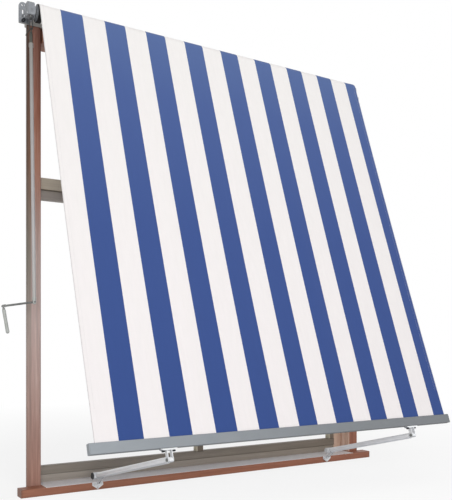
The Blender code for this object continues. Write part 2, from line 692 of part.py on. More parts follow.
def add_idler_bracket():
    web_left = FABRIC_WIDTH / 2 + TUBE_STANDOUT + PLUG_FLANGE + RUNNING
    flange_right = web_left + IDLER_PLATE_WIDTH
    low_z = RAIL_LOW + FLANGE_BOTTOM
    high_z = RAIL_HIGH + FLANGE_STEP
    outline = [(web_left, low_z), (flange_right, low_z), (flange_right, high_z - 0.010)]
    outline += [(flange_right - 0.010, high_z), (web_left, high_z)]
    middle_x = (web_left + WEB_THICKNESS + flange_right) / 2
    loops = [outline, circle((middle_x, RAIL_LOW + RAIL_SIZE / 2), SCREW_HOLE, 12),
             slot((middle_x, RAIL_HIGH + 0.008), SLOT_WIDTH, 0.014, 90.0)]
    bracket_web("idler_bracket", web_left, DRIVE_RADIUS + RUNNING, loops)


# Gear

def housing_outline(inset):
    low = (WORM_CENTRE.y - WORM_PITCH_RADIUS - GEAR_MODULE - 0.0055 + inset, ROLLER_AXIS_Z - 0.024 + inset)
    high = (ROLLER_AXIS_Y + WHEEL_PITCH_RADIUS + GEAR_MODULE + 0.0045 - inset, ROLLER_AXIS_Z + 0.036 - inset)
    corner = 0.005 - inset * 0.8
    top = HOUSING_TOP_RADIUS - inset
    return rounded(low, high, (corner, corner, top, top), 4)


def worm_frame():
    # Local Z runs up the crank's axis and local Y points at the worm wheel
    return Matrix.Translation(WORM_CENTRE) @ Matrix.Rotation(-CRANK_TILT, 4, "X")


def add_gear_housing():
    body_left = GEAR_LEFT_X + COVER_THICKNESS + SEAT
    body_right = GEAR_LEFT_X + HOUSING_WIDTH
    middle = (body_left + body_right) / 2
    frame = axes((middle, 0.0, 0.0), (0.0, 1.0, 0.0), (0.0, 0.0, 1.0))
    housing = plate("gear_housing", "cast_aluminium", [housing_outline(0.0)], body_right - body_left, frame)
    cavity = outline_mesh("cavity", [housing_outline(HOUSING_WALL)], body_right - body_left)
    combine(housing, cavity, Matrix.Translation((0.0, 0.0, -HOUSING_WALL)), "DIFFERENCE")
    inverse = frame.inverted()
    bore = axes((body_right, ROLLER_AXIS_Y, ROLLER_AXIS_Z), (0.0, 1.0, 0.0), (0.0, 0.0, 1.0))
    drill(housing, DRIVE_RADIUS + RUNNING, 0.020, inverse @ bore)
    neck = worm_frame() @ Matrix.Translation((0.0, 0.0, -0.030))
    drill(housing, DRIVE_RADIUS + RUNNING, 0.024, inverse @ neck)

    cover_frame = axes((GEAR_LEFT_X + COVER_THICKNESS / 2, 0.0, 0.0), (0.0, 1.0, 0.0), (0.0, 0.0, 1.0))
    loops = [housing_outline(0.0)]
    cover = plate("gear_cover", "cast_aluminium", loops, COVER_THICKNESS, cover_frame)
    boss = turned_mesh("boss", [(0.0, 0.003), (COVER_BOSS - 0.002, 0.003), (COVER_BOSS, 0.001),
                                (COVER_BOSS, -0.001), (0.0, -0.001)], 24)
    place = axes((GEAR_LEFT_X, ROLLER_AXIS_Y, ROLLER_AXIS_Z), (0.0, 1.0, 0.0), (0.0, 0.0, -1.0))
    combine(cover, boss, cover_frame.inverted() @ place, "UNION")


def add_worm_wheel(axis):
    # Gear outline: trapezoid teeth, a gap centred on the worm's side, and the teeth slanted by its lead
    tip = WHEEL_PITCH_RADIUS + GEAR_MODULE * 0.95
    root = WHEEL_PITCH_RADIUS - GEAR_MODULE * 1.2
    step = 360.0 / WHEEL_TEETH
    toward_worm = math.degrees(math.atan2(math.sin(CRANK_TILT), -math.cos(CRANK_TILT)))
    points = []
    for i in range(WHEEL_TEETH):
        centre = toward_worm + step * (i + 0.5)
        for radius, share in ((root, -0.34), (tip, -0.13), (tip, 0.13), (root, 0.34)):
            angle = math.radians(centre + step * share)
            points.append((radius * math.cos(angle), radius * math.sin(angle)))
    frame = axes((GEAR_MIDDLE_X, 0.0, 0.0), (0.0, 1.0, 0.0), (0.0, 0.0, 1.0))
    wheel = plate("worm_wheel", "brass", [points], WHEEL_WIDTH, frame, axis)
    pitch = math.pi * GEAR_MODULE
    lead_slope = pitch / (2 * math.pi * WORM_PITCH_RADIUS)
    for vert in wheel.data.vertices:
        swing = vert.co.z * lead_slope / WHEEL_PITCH_RADIUS
        vert.co = Matrix.Rotation(swing, 3, "Z") @ vert.co
    shaft_left = GEAR_LEFT_X + COVER_THICKNESS + RUNNING
    shaft_right = -FABRIC_WIDTH / 2 - TUBE_STANDOUT + PLUG_DEPTH / 2
    shaft = cylinder_mesh("shaft", DRIVE_RADIUS, shaft_right - shaft_left, 20)
    middle = (shaft_left + shaft_right) / 2 - GEAR_MIDDLE_X
    combine(wheel, shaft, Matrix.Translation((0.0, 0.0, middle)), "UNION")


def add_worm(axis):
    # One-start thread: the radius at (angle, height) rises where the height meets the helix
    pitch = math.pi * GEAR_MODULE
    outer = WORM_PITCH_RADIUS + GEAR_MODULE * 0.9
    root = WORM_PITCH_RADIUS - GEAR_MODULE * 1.15
    sides = 12
    rings = 26
    grid = bmesh.new()
    rows = []
    for j in range(rings + 1):
        height = WORM_LENGTH * (j / rings - 0.5)
        row = []
        for i in range(sides):
            angle = 2 * math.pi * i / sides
            # Crest on the wheel's side (angle 90 degrees) at the middle height
            phase = (height / pitch - (angle - math.pi / 2) / (2 * math.pi)) % 1.0
            away = min(phase, 1.0 - phase)
            flank = (TOOTH_SHARE - 2 * away) / 0.30
            lift = min(max(flank + 0.35, 0.0), 1.0)
            radius = root + (outer - root) * lift
            row.append(grid.verts.new((radius * math.cos(angle), radius * math.sin(angle), height)))
        rows.append(row)
    for lower, upper in zip(rows, rows[1:]):
        for i in range(sides):
            k = (i + 1) % sides
            grid.faces.new((lower[i], lower[k], upper[k], upper[i]))
    grid.faces.new(list(reversed(rows[0])))
    grid.faces.new(rows[-1])
    mesh = bpy.data.meshes.new("worm")
    grid.to_mesh(mesh)
    grid.free()
    worm = add_object("worm", mesh, "steel", IDENTITY, axis)
    shank_top = -WORM_LENGTH / 2 + 0.001
    shank_bottom = EYE_TOP + 0.008
    shank = cylinder_mesh("shank", WORM_PITCH_RADIUS - GEAR_MODULE * 1.2, shank_top - shank_bottom, 16)
    combine(worm, shank, Matrix.Translation((0.0, 0.0, (shank_top + shank_bottom) / 2)), "UNION")


# Roller and cloth

def add_roller(axis):
    half = FABRIC_WIDTH / 2 + TUBE_STANDOUT
    inner = TUBE_RADIUS - TUBE_WALL
    along = axes((0.0, 0.0, 0.0), (0.0, 1.0, 0.0), (0.0, 0.0, 1.0))
    profile = [(inner, half), (TUBE_RADIUS, half), (TUBE_RADIUS, -half), (inner, -half)]
    turned("roller_tube", "bright_aluminium", profile, along, axis, 32)
    roll_in = TUBE_RADIUS + SEAT
    roll = FABRIC_WIDTH / 2
    profile = [(roll_in, roll), (ROLL_RADIUS, roll), (ROLL_RADIUS, -roll), (roll_in, -roll)]
    turned("fabric_roll", "white_canvas", profile, along, axis, 32)
    bore = DRIVE_RADIUS + SEAT
    plug = inner - SEAT
    for name, side in (("left_end_plug", -1.0), ("right_end_plug", 1.0)):
        place = axes((side * half, 0.0, 0.0), (0.0, side, 0.0), (0.0, 0.0, 1.0))
        top = PLUG_FLANGE
        if name == "left_end_plug":
            profile = [(bore, top), (PLUG_RADIUS, top), (PLUG_RADIUS, 0.0015), (plug, 0.0015), (plug, -PLUG_DEPTH),
                       (plug - 0.003, -PLUG_DEPTH), (plug - 0.003, -0.004), (bore + 0.004, -0.004),
                       (bore + 0.004, -PLUG_DEPTH), (bore, -PLUG_DEPTH)]
        else:
            stub = top + RUNNING + WEB_THICKNESS + 0.006
            profile = [(0.0, stub), (DRIVE_RADIUS - 0.001, stub), (DRIVE_RADIUS, stub - 0.001), (DRIVE_RADIUS, top),
                       (PLUG_RADIUS, top), (PLUG_RADIUS, 0.0015), (plug, 0.0015), (plug, -PLUG_DEPTH),
                       (plug - 0.003, -PLUG_DEPTH), (plug - 0.003, -0.004), (0.0, -0.004)]
        turned(name, "grey_plastic", profile, place, axis, 24)


def stripe_edges():
    # White and blue by turns from the left edge; what is left at the right edge is cut off
    edges = [-FABRIC_WIDTH / 2, -FABRIC_WIDTH / 2 + FIRST_STRIPE]
    step = BLUE_STRIPE
    while edges[-1] + step < FABRIC_WIDTH / 2:
        edges.append(edges[-1] + step)
        step = BLUE_STRIPE + WHITE_STRIPE - step
    return edges + [FABRIC_WIDTH / 2]


def add_fabric():
    # The sheet between the roll and the welt: one face for each stripe, then a thickness
    lean = CLOTH_LEAN
    down = Vector((0.0, -math.sin(lean), -math.cos(lean)))
    out = Vector((0.0, -math.cos(lean), math.sin(lean)))
    sheet_radius = ROLL_RADIUS + SEAT + FABRIC_THICKNESS / 2
    top = Vector((0.0, ROLLER_AXIS_Y, ROLLER_AXIS_Z)) + sheet_radius * out
    welt_z = BAR_BOTTOM + BAR_HEIGHT - GROOVE_DEPTH
    foot = Vector((0.0, PIN_Y, PIN_Z)) + CLOTH_OFFSET * out - (welt_z + WELT_RADIUS + SEAT) * down
    length = (foot - top).dot(down)
    frame = axes((top + foot) / 2, (1.0, 0.0, 0.0), -down)
    grid = bmesh.new()
    columns = stripe_edges()
    high = [grid.verts.new((x, length / 2, 0.0)) for x in columns]
    low = [grid.verts.new((x, -length / 2, 0.0)) for x in columns]
    for i in range(len(columns) - 1):
        face = grid.faces.new((high[i], low[i], low[i + 1], high[i + 1]))
        face.material_index = i % 2
    mesh = bpy.data.meshes.new("fabric")
    grid.to_mesh(mesh)
    grid.free()
    fabric = add_object("fabric", mesh, "white_canvas", frame)
    mesh.materials.append(finish("blue_canvas"))
    cloth = fabric.modifiers.new("Cloth thickness", "SOLIDIFY")
    cloth.thickness = FABRIC_THICKNESS
    cloth.offset = 0.0
    return length


# Crank

def add_crank(axis):
    # The gear's eye: a shank out of the housing and a long ring of wire
    half = EYE_HALF_WIDTH
    top = arc((0.0, EYE_TOP - half), half, 0, 180, 8)
    bottom = arc((0.0, EYE_BOTTOM + half), half, 180, 360, 8)
    ring = [(x, 0.0, z) for x, z in top + bottom]
    shank_top = EYE_TOP + 0.008 - SEAT
    shank_radius = WORM_PITCH_RADIUS - GEAR_MODULE * 1.2
    profile = [(0.0, shank_top), (shank_radius, shank_top), (shank_radius, EYE_TOP + 0.004),
               (0.0065, EYE_TOP + 0.003), (0.0065, EYE_TOP - 0.0015), (0.0, EYE_TOP - 0.0015)]
    eye = turned("crank_eye", "steel", profile, IDENTITY, axis, 16)
    combine(eye, wire_mesh("ring", ring, EYE_WIRE, True), IDENTITY, "UNION")

    # The hook passes through the eye, rests on its lower bend and turns its tail to the left
    crest = EYE_BOTTOM + EYE_WIRE + HOOK_WIRE + HOOK_SEAT
    shape = [(0.0, 0.0, -0.0246), (0.0, -0.0040, -0.0186), (0.0, -0.0070, -0.0126), (0.0, -0.0072, -0.0066),
             (0.0, -0.0052, -0.0024), (0.0, -0.0028, -0.0006), (-0.0002, 0.0, 0.0), (-0.0008, 0.0028, -0.0006),
             (-0.0022, 0.0056, -0.0030), (-0.0050, 0.0078, -0.0070), (-0.0095, 0.0085, -0.0126),
             (-0.0150, 0.0070, -0.0196), (-0.0190, 0.0050, -0.0276), (-0.0205, 0.0035, -0.0350)]
    hook = wire("crank_hook", "steel", [(x, y, crest + z) for x, y, z in shape], HOOK_WIRE, IDENTITY, axis)
    ferrule = [(0.0, FERRULE_TOP), (FERRULE_TOP_RADIUS - 0.0015, FERRULE_TOP),
               (FERRULE_TOP_RADIUS, FERRULE_TOP - 0.002), (0.0068, FERRULE_TOP - 0.014),
               (0.0068, ROD_TOP + SEAT), (0.0, ROD_TOP + SEAT)]
    combine(hook, turned_mesh("ferrule", ferrule, 20), IDENTITY, "UNION")

    profile = [(0.0, ROD_TOP), (COLLAR_RADIUS - 0.001, ROD_TOP), (COLLAR_RADIUS, ROD_TOP - 0.001),
               (COLLAR_RADIUS, ROD_TOP - COLLAR_LENGTH + 0.002), (ROD_RADIUS, ROD_TOP - COLLAR_LENGTH),
               (ROD_RADIUS, ROD_BOTTOM), (0.0, ROD_BOTTOM)]
    turned("crank_rod", "grey_plastic", profile, IDENTITY, axis, 24)

    # Clevis: a round plug with two cheeks that hold the handle's eye
    cheek_low = ROD_BOTTOM - CLEVIS_LENGTH
    profile = [(0.0, ROD_BOTTOM - SEAT), (ROD_RADIUS + 0.001, ROD_BOTTOM - SEAT),
               (ROD_RADIUS + 0.001, cheek_low + 0.004),
               (ROD_RADIUS - 0.002, cheek_low), (0.0, cheek_low)]
    clevis = turned("crank_clevis", "grey_plastic", profile, IDENTITY, axis, 20)
    gap = bmesh.new()
    bmesh.ops.create_cube(gap, size=1.0)
    gap_top = HANDLE_Z + HANDLE_RADIUS + 0.004
    gap_low = cheek_low - 0.004
    bmesh.ops.scale(gap, vec=(4 * ROD_RADIUS, CLEVIS_GAP, gap_top - gap_low), verts=gap.verts)
    mesh = bpy.data.meshes.new("gap")
    gap.to_mesh(mesh)
    gap.free()
    combine(clevis, mesh, Matrix.Translation((0.0, 0.0, (gap_top + gap_low) / 2)), "DIFFERENCE")
    across = axes((0.0, 0.0, HANDLE_Z), (1.0, 0.0, 0.0), (0.0, 0.0, 1.0))
    drill(clevis, HANDLE_PIN_RADIUS + SEAT, 0.03, across, 12)
    pin_half = ROD_RADIUS + 0.002
    pin = [(0.0, pin_half), (0.0035, pin_half), (0.0035, pin_half - 0.0008),
           (HANDLE_PIN_RADIUS, pin_half - 0.0008),
           (HANDLE_PIN_RADIUS, -pin_half), (0.0, -pin_half)]
    turned("handle_pin", "steel", pin, across, axis, 12)


def add_handle(pivot):
    # Local X runs away from the rod, local Y is the hinge axis
    inner = CLEVIS_GAP / 2 - RUNNING
    outline = circle((0.0, 0.0), HANDLE_RADIUS, 16)
    hole = circle((0.0, 0.0), HANDLE_PIN_RADIUS + SEAT, 12)
    flat = axes((0.0, 0.0, 0.0), (1.0, 0.0, 0.0), (0.0, 0.0, 1.0))
    arm = plate("handle_arm", "steel", [outline, hole], 2 * inner, flat, pivot)
    start = HANDLE_RADIUS - 0.0015
    end = HANDLE_REACH - 0.0065
    bar = cylinder_mesh("bar", inner + 0.0012, end - start - 0.008, 12)
    place = flat.inverted() @ axes(((start + end) / 2 + 0.004, 0.0, 0.0), (0.0, 1.0, 0.0), (0.0, 0.0, 1.0))
    tongue = bmesh.new()
    bmesh.ops.create_cube(tongue, size=1.0)
    bmesh.ops.scale(tongue, vec=(0.012, 2 * inner - 0.0002, 0.0062), verts=tongue.verts)
    mesh = bpy.data.meshes.new("tongue")
    tongue.to_mesh(mesh)
    tongue.free()
    combine(arm, mesh, flat.inverted() @ Matrix.Translation((start + 0.0055, 0.0, 0.0)), "UNION")
    combine(arm, bar, place, "UNION")
    # Forked end for the grip's spindle
    nose = FORK_RADIUS - 0.0001
    fork = outline_mesh("fork", [rounded((end - 0.004, -FORK_RADIUS), (HANDLE_REACH + FORK_RADIUS, FORK_RADIUS),
                                         (0.001, nose, nose, 0.001), 4)], FORK_DEPTH)
    combine(arm, fork, IDENTITY, "UNION")
    low, high = (HANDLE_REACH - FORK_RADIUS - 0.0008, -0.02), (HANDLE_REACH + 0.02, 0.02)
    gap = outline_mesh("fork_gap", [rounded(low, high, 0.001, 1)], FORK_GAP)
    combine(arm, gap, IDENTITY, "DIFFERENCE")
    hinge = cylinder_mesh("hinge", SPINDLE_PIN_RADIUS, FORK_DEPTH - 0.0010, 12)
    combine(arm, hinge, Matrix.Translation((HANDLE_REACH, 0.0, 0.0)), "UNION")


def add_grip(grip_pivot, grip_axis):
    # Spindle: an eye on the handle's hinge pin, a collar, and a long stem that the sleeve turns on
    flat = axes((0.0, 0.0, 0.0), (1.0, 0.0, 0.0), (0.0, 0.0, 1.0))
    outline = [circle((0.0, 0.0), 0.0055, 16), circle((0.0, 0.0), SPINDLE_PIN_RADIUS + SEAT, 12)]
    spindle = plate("grip_spindle", "steel", outline, SPINDLE_EYE, flat, grip_pivot)
    stem_radius = GRIP_BORE - SEAT
    foot = -0.014 - GRIP_LENGTH - 0.002
    stem = turned_mesh("stem", [(0.0, -0.0040), (0.0032, -0.0040), (0.0032, -0.0085), (0.0060, -0.0100),
                                (0.0060, -0.0135), (stem_radius, -0.0137), (stem_radius, foot + 0.0015),
                                (0.0050, foot + 0.0013), (0.0050, foot), (0.0, foot)], 16)
    combine(spindle, stem, flat.inverted(), "UNION")
    top = -0.014 - SEAT
    low = top - GRIP_LENGTH + 2 * SEAT
    bore = GRIP_BORE
    profile = [(bore, top), (GRIP_RADIUS - 0.0015, top), (GRIP_RADIUS, top - 0.003),
               (GRIP_RADIUS - 0.0006, (top + low) / 2),
               (GRIP_RADIUS, low + 0.003), (GRIP_RADIUS - 0.0015, low), (bore, low)]
    turned("grip", "grey_plastic", profile, IDENTITY, grip_axis, 20)


# Pivot arms

def add_base_bracket(name, hub):
    # A shield on the sill's face, a web up to the ear, and the ear round the pivot pin
    shield_x = hub.x + SHIELD_OFFSET
    top = SILL_TOP - 0.0002
    half = SHIELD_WIDTH / 2
    shoulder = top - SHIELD_SHOULDER
    tip = top - SHIELD_TIP
    outline = [(-half + 0.003, top), (-half, top - 0.003), (-half, shoulder)]
    outline += arc((0.0, tip + 0.006), 0.006, 215, 325, 4)
    outline += [(half, shoulder), (half, top - 0.003), (half - 0.003, top)]
    hole = circle((0.0, tip + 0.0075), SHIELD_HOLE, 10)
    face_y = -SILL_PROJECTION - SEAT - SHIELD_THICKNESS / 2
    frame = axes((shield_x, face_y, 0.0), (1.0, 0.0, 0.0), (0.0, 0.0, 1.0))
    bracket = plate(name, "cast_aluminium", [outline, hole], SHIELD_THICKNESS, frame)
    for side in (-1.0, 1.0):
        dome = [(0.0, SCREW_HEAD), (SCREW_RADIUS * 0.6, SCREW_HEAD * 0.8), (SCREW_RADIUS, 0.0),
                (SCREW_RADIUS, -0.001), (0.0, -0.001)]
        place = Matrix.Translation((side * (half - 0.0075), top - 0.0085, SHIELD_THICKNESS / 2))
        combine(bracket, turned_mesh("screw", dome, 12), place, "UNION")
    ear_left = hub.x + HUB_WIDTH / 2 + RUNNING
    low_corner = (face_y, top - SHIELD_SHOULDER)
    high_corner = (face_y, top - 0.002)
    nose = tangent_nose(low_corner, high_corner, (hub.y, hub.z), EAR_RADIUS)
    ear = outline_mesh("ear", [nose], EAR_THICKNESS)
    ear_frame = axes((ear_left + EAR_THICKNESS / 2, 0.0, 0.0), (0.0, 1.0, 0.0), (0.0, 0.0, 1.0))
    combine(bracket, ear, frame.inverted() @ ear_frame, "UNION")
    # A gusset across the shield stiffens the ear's root
    foot, crest = GUSSET_LENGTH / 2, EAR_THICKNESS
    gusset = outline_mesh("gusset", [[(-foot, top - 0.009), (foot, top - 0.009), (crest, top - 0.004),
                                      (-crest, top - 0.004)]], GUSSET_DEPTH)
    ear_x = ear_left + EAR_THICKNESS / 2
    place = axes((ear_x, face_y - 0.009, 0.0), (1.0, 0.0, 0.0), (0.0, 0.0, 1.0))
    combine(bracket, gusset, frame.inverted() @ place, "UNION")
    bore = axes((ear_left + EAR_THICKNESS / 2, hub.y, hub.z), (0.0, 1.0, 0.0), (0.0, 0.0, 1.0))
    drill(bracket, PIN_RADIUS + SEAT, 0.03, frame.inverted() @ bore)
    return ear_left


def add_pivot_pin(name, hub, ear_left):
    right = ear_left + EAR_THICKNESS + SEAT
    left = hub.x - HUB_WIDTH / 2 + 0.004
    profile = [(0.0, right + PIN_HEAD), (0.0075, right + PIN_HEAD), (0.0085, right + PIN_HEAD - 0.001),
               (0.0085, right), (PIN_RADIUS, right), (PIN_RADIUS, left), (0.0, left)]
    frame = axes((0.0, hub.y, hub.z), (0.0, 1.0, 0.0), (0.0, 0.0, 1.0))
    turned(name, "steel", profile, frame, None, 20)


def add_arm(side_name, pivot, toe):
    # In the arm's frame -Y runs out along the arm; toe is the sideways step from hub to outer pin
    along = Vector((toe, -ARM_LENGTH, 0.0)).normalized()
    length = math.hypot(toe, ARM_LENGTH)
    sideways = axes((0.0, 0.0, 0.0), (0.0, 1.0, 0.0), (0.0, 0.0, 1.0))
    half = HUB_WIDTH / 2
    # Hub: a cup that is open on the left for the spring, with a floor on the bracket's side
    profile = [(PIN_RADIUS + SEAT, half), (HUB_RADIUS - 0.001, half), (HUB_RADIUS, half - 0.001),
               (HUB_RADIUS, -half), (HUB_RADIUS - HUB_WALL, -half), (HUB_RADIUS - HUB_WALL, half - HUB_FLOOR),
               (PIN_RADIUS + SEAT, half - HUB_FLOOR)]
    knuckle = turned(side_name + "_inner_knuckle", "cast_aluminium", profile, sideways, pivot, 24)
    run = axes((0.0, 0.0, 0.0), along, (0.0, 0.0, 1.0)) @ Matrix.Rotation(math.pi / 2, 4, "Y")
    inner = ARM_TUBE_RADIUS - ARM_TUBE_WALL - SEAT
    start = HUB_RADIUS - HUB_WALL + 0.0006
    collar = HUB_CLEAR - SEAT
    stub = turned_mesh("stub", [(0.0, HUB_CLEAR + SPIGOT_LENGTH), (inner - 0.001, HUB_CLEAR + SPIGOT_LENGTH),
                                (inner, HUB_CLEAR + SPIGOT_LENGTH - 0.002), (inner, collar),
                                (ARM_TUBE_RADIUS - 0.0004, collar), (ARM_TUBE_RADIUS - 0.0015, start),
                                (0.0, start)], 16)
    combine(knuckle, stub, sideways.inverted() @ run, "UNION")

    tube_end = length - EYE_CLEAR
    profile = [(ARM_TUBE_RADIUS - ARM_TUBE_WALL, tube_end), (ARM_TUBE_RADIUS, tube_end),
               (ARM_TUBE_RADIUS, HUB_CLEAR), (ARM_TUBE_RADIUS - ARM_TUBE_WALL, HUB_CLEAR)]
    turned(side_name + "_arm_tube", "bright_aluminium", profile, run, pivot, 24)

    pin = Vector((toe, -ARM_LENGTH, 0.0))
    eye_half = EYE_WIDTH / 2
    bore = OUTER_PIN_RADIUS + SEAT
    profile = [(bore, eye_half), (EYE_RADIUS, eye_half), (EYE_RADIUS, -eye_half), (bore, -eye_half)]
    pin_frame = Matrix.Translation(pin) @ sideways
    eye = turned(side_name + "_outer_knuckle", "cast_aluminium", profile, pin_frame, pivot, 20)
    near = EYE_RADIUS - 0.0022
    neck = -LUG_RADIUS - 0.0020
    spigot = turned_mesh("spigot", [(0.0, -near), (0.0066, -near), (0.0068, neck),
                                    (ARM_TUBE_RADIUS - 0.0012, -EYE_CLEAR + SEAT + 0.003),
                                    (ARM_TUBE_RADIUS - 0.0004, -EYE_CLEAR + SEAT), (inner, -EYE_CLEAR + SEAT),
                                    (inner, -EYE_CLEAR - SPIGOT_LENGTH), (0.0, -EYE_CLEAR - SPIGOT_LENGTH)], 16)
    combine(eye, spigot, pin_frame.inverted() @ Matrix.Translation(pin) @ run, "UNION")

    # Outer pin with a head and a nut
    reach = LUG_THICKNESS + RUNNING + eye_half + SEAT
    head = 0.0035
    profile = [(0.0, reach + head), (0.0060, reach + head), (0.0068, reach + head - 0.001), (0.0068, reach),
               (OUTER_PIN_RADIUS, reach), (OUTER_PIN_RADIUS, -reach), (0.0065, -reach),
               (0.0065, -reach - 0.0035), (0.0030, -reach - 0.0040), (0.0030, -reach - 0.0055),
               (0.0, -reach - 0.0055)]
    turned(side_name + "_outer_pin", "steel", profile, pin_frame, pivot, 16)

    cap_in = -half - SEAT
    profile = [(0.0, cap_in), (CAP_RADIUS, cap_in), (CAP_RADIUS, cap_in - CAP_THICKNESS + 0.0015),
               (CAP_RADIUS - 0.0015, cap_in - CAP_THICKNESS), (CAP_RADIUS - 0.0050, cap_in - CAP_THICKNESS),
               (CAP_RADIUS - 0.0060, cap_in - CAP_THICKNESS + 0.0010), (0.0, cap_in - CAP_THICKNESS + 0.0010)]
    turned(side_name + "_pivot_cap", "black_plastic", profile, sideways, pivot, 24)

    coil = []
    per_turn = 10
    first = -half + SPRING_WIRE + SEAT
    last = half - HUB_FLOOR - SPRING_WIRE - SEAT
    total = SPRING_TURNS * per_turn
    for i in range(total + 1):
        angle = 2 * math.pi * i / per_turn
        coil.append((first + (last - first) * i / total, SPRING_RADIUS * math.cos(angle),
                     SPRING_RADIUS * math.sin(angle)))
    wire(side_name + "_arm_spring", "steel", coil, SPRING_WIRE, IDENTITY, pivot, False, 1)


# Front bar

def bar_outline():
    front = -BAR_FRONT
    back = BAR_BACK
    low = BAR_BOTTOM
    high = BAR_BOTTOM + BAR_HEIGHT
    cloth = -CLOTH_OFFSET
    groove = (cloth, high - GROOVE_DEPTH)
    mouth = GROOVE_MOUTH / 2
    gap = math.degrees(math.asin(mouth / GROOVE_RADIUS))
    corner = 0.0015
    outline = [(front + corner, low), (front, low + corner), (front, high - corner), (front + corner, high)]
    outline += [(cloth - mouth, high)]
    outline += arc(groove, GROOVE_RADIUS, 90 + gap, 450 - gap, 12)
    outline += [(cloth + mouth, high), (back - corner, high), (back, high - corner), (back, low + corner),
                (back - corner, low)]
    slot_half = SLOT_MOUTH / 2
    chamber = SLOT_CHAMBER / 2
    ledge = low + BAR_WALL
    roof = ledge + SLOT_CHAMBER_HEIGHT
    outline += [(slot_half, low), (slot_half, ledge), (chamber, ledge), (chamber, roof), (-chamber, roof),
                (-chamber, ledge), (-slot_half, ledge), (-slot_half, low)]
    void_low = roof + BAR_WALL
    void_high = high - GROOVE_DEPTH - GROOVE_RADIUS - BAR_WALL
    void = rounded((front + BAR_WALL, void_low), (back - BAR_WALL, void_high), 0.001, 1)
    return outline, void


def add_front_bar(pivot):
    outline, void = bar_outline()
    length = BAR_LENGTH - 2 * BAR_CAP - 2 * SEAT
    frame = axes((0.0, 0.0, 0.0), (0.0, 1.0, 0.0), (0.0, 0.0, 1.0))
    plate("front_bar", "anodised_bar", [outline, void], length, frame, pivot)
    low = (-BAR_FRONT, BAR_BOTTOM)
    high = (BAR_BACK, BAR_BOTTOM + BAR_HEIGHT)
    plug_low = (-BAR_FRONT + BAR_WALL + RUNNING, BAR_BOTTOM + 2 * BAR_WALL + SLOT_CHAMBER_HEIGHT + RUNNING)
    plug_high = (BAR_BACK - BAR_WALL - RUNNING,
                 BAR_BOTTOM + BAR_HEIGHT - GROOVE_DEPTH - GROOVE_RADIUS - BAR_WALL - RUNNING)
    plug_depth = 0.010
    for name, side in (("left_bar_cap", -1.0), ("right_bar_cap", 1.0)):
        place = axes((side * (BAR_LENGTH - BAR_CAP) / 2, 0.0, 0.0), (0.0, 1.0, 0.0), (0.0, 0.0, 1.0))
        cap = plate(name, "grey_plastic", [rounded(low, high, 0.003, 2)], BAR_CAP, place, pivot)
        plug = outline_mesh("plug", [rounded(plug_low, plug_high, 0.001, 1)], plug_depth)
        combine(cap, plug, Matrix.Translation((0.0, 0.0, -side * plug_depth / 2)), "UNION")
    welt = cylinder_mesh("welt", WELT_RADIUS, FABRIC_WIDTH, 12)
    groove_z = BAR_BOTTOM + BAR_HEIGHT - GROOVE_DEPTH
    place = axes((0.0, -CLOTH_OFFSET, groove_z), (0.0, 1.0, 0.0), (0.0, 0.0, 1.0))
    add_object("welt_rod", welt, "white_canvas", place, pivot)


def add_bar_bracket(name, x, pivot):
    # Tapered foot under the bar, two lugs down to the pin, and two bolts up into the bar's slot
    top = BAR_BOTTOM - SEAT
    low = top - BRACKET_THICKNESS
    half = BRACKET_WIDTH / 2
    foot = [(-half, top), (-half, top - 0.002), (-half + BRACKET_TAPER, low), (half - BRACKET_TAPER, low),
            (half, top - 0.002), (half, top)]
    frame = axes((x, 0.0, 0.0), (1.0, 0.0, 0.0), (0.0, 0.0, 1.0))
    bracket = plate(name, "cast_aluminium", [foot], BAR_FRONT + BAR_BACK - 0.004, frame, pivot)
    gap = EYE_WIDTH / 2 + RUNNING
    lug = [(0.0085, low + 0.001), (-0.0085, low + 0.001)]
    outline = tangent_nose((lug[0][1], -lug[0][0]), (lug[1][1], -lug[1][0]), (0.0, 0.0), LUG_RADIUS)
    for side in (-1.0, 1.0):
        mesh = outline_mesh("lug", [outline], LUG_THICKNESS)
        centre = side * (gap + LUG_THICKNESS / 2)
        # The outline lies with its nose at the pin and its flat end up under the foot
        place = axes((x + centre, 0.0, 0.0), (0.0, 0.0, 1.0), (0.0, 1.0, 0.0))
        combine(bracket, mesh, frame.inverted() @ place, "UNION")
    bore = axes((x, 0.0, 0.0), (0.0, 1.0, 0.0), (0.0, 0.0, 1.0))
    drill(bracket, OUTER_PIN_RADIUS + RUNNING, 0.05, frame.inverted() @ bore, 20)
    shank = SLOT_MOUTH / 2 - SEAT
    ledge = BAR_BOTTOM + BAR_WALL + SEAT
    for side in (-1.0, 1.0):
        bolt = turned_mesh("bolt", [(0.0, ledge + 0.003), (SLOT_CHAMBER / 2 - SEAT, ledge + 0.003),
                                    (SLOT_CHAMBER / 2 - SEAT, ledge), (shank, ledge), (shank, low + 0.001),
                                    (BOLT_HEAD_RADIUS, low + 0.001), (BOLT_HEAD_RADIUS, low - BOLT_HEAD),
                                    (0.0, low - BOLT_HEAD)], 6)
        place = frame.inverted() @ Matrix.Translation((x + side * BOLT_SPACING / 2, 0.0, 0.0))
        combine(bracket, bolt, place, "UNION")


# Build

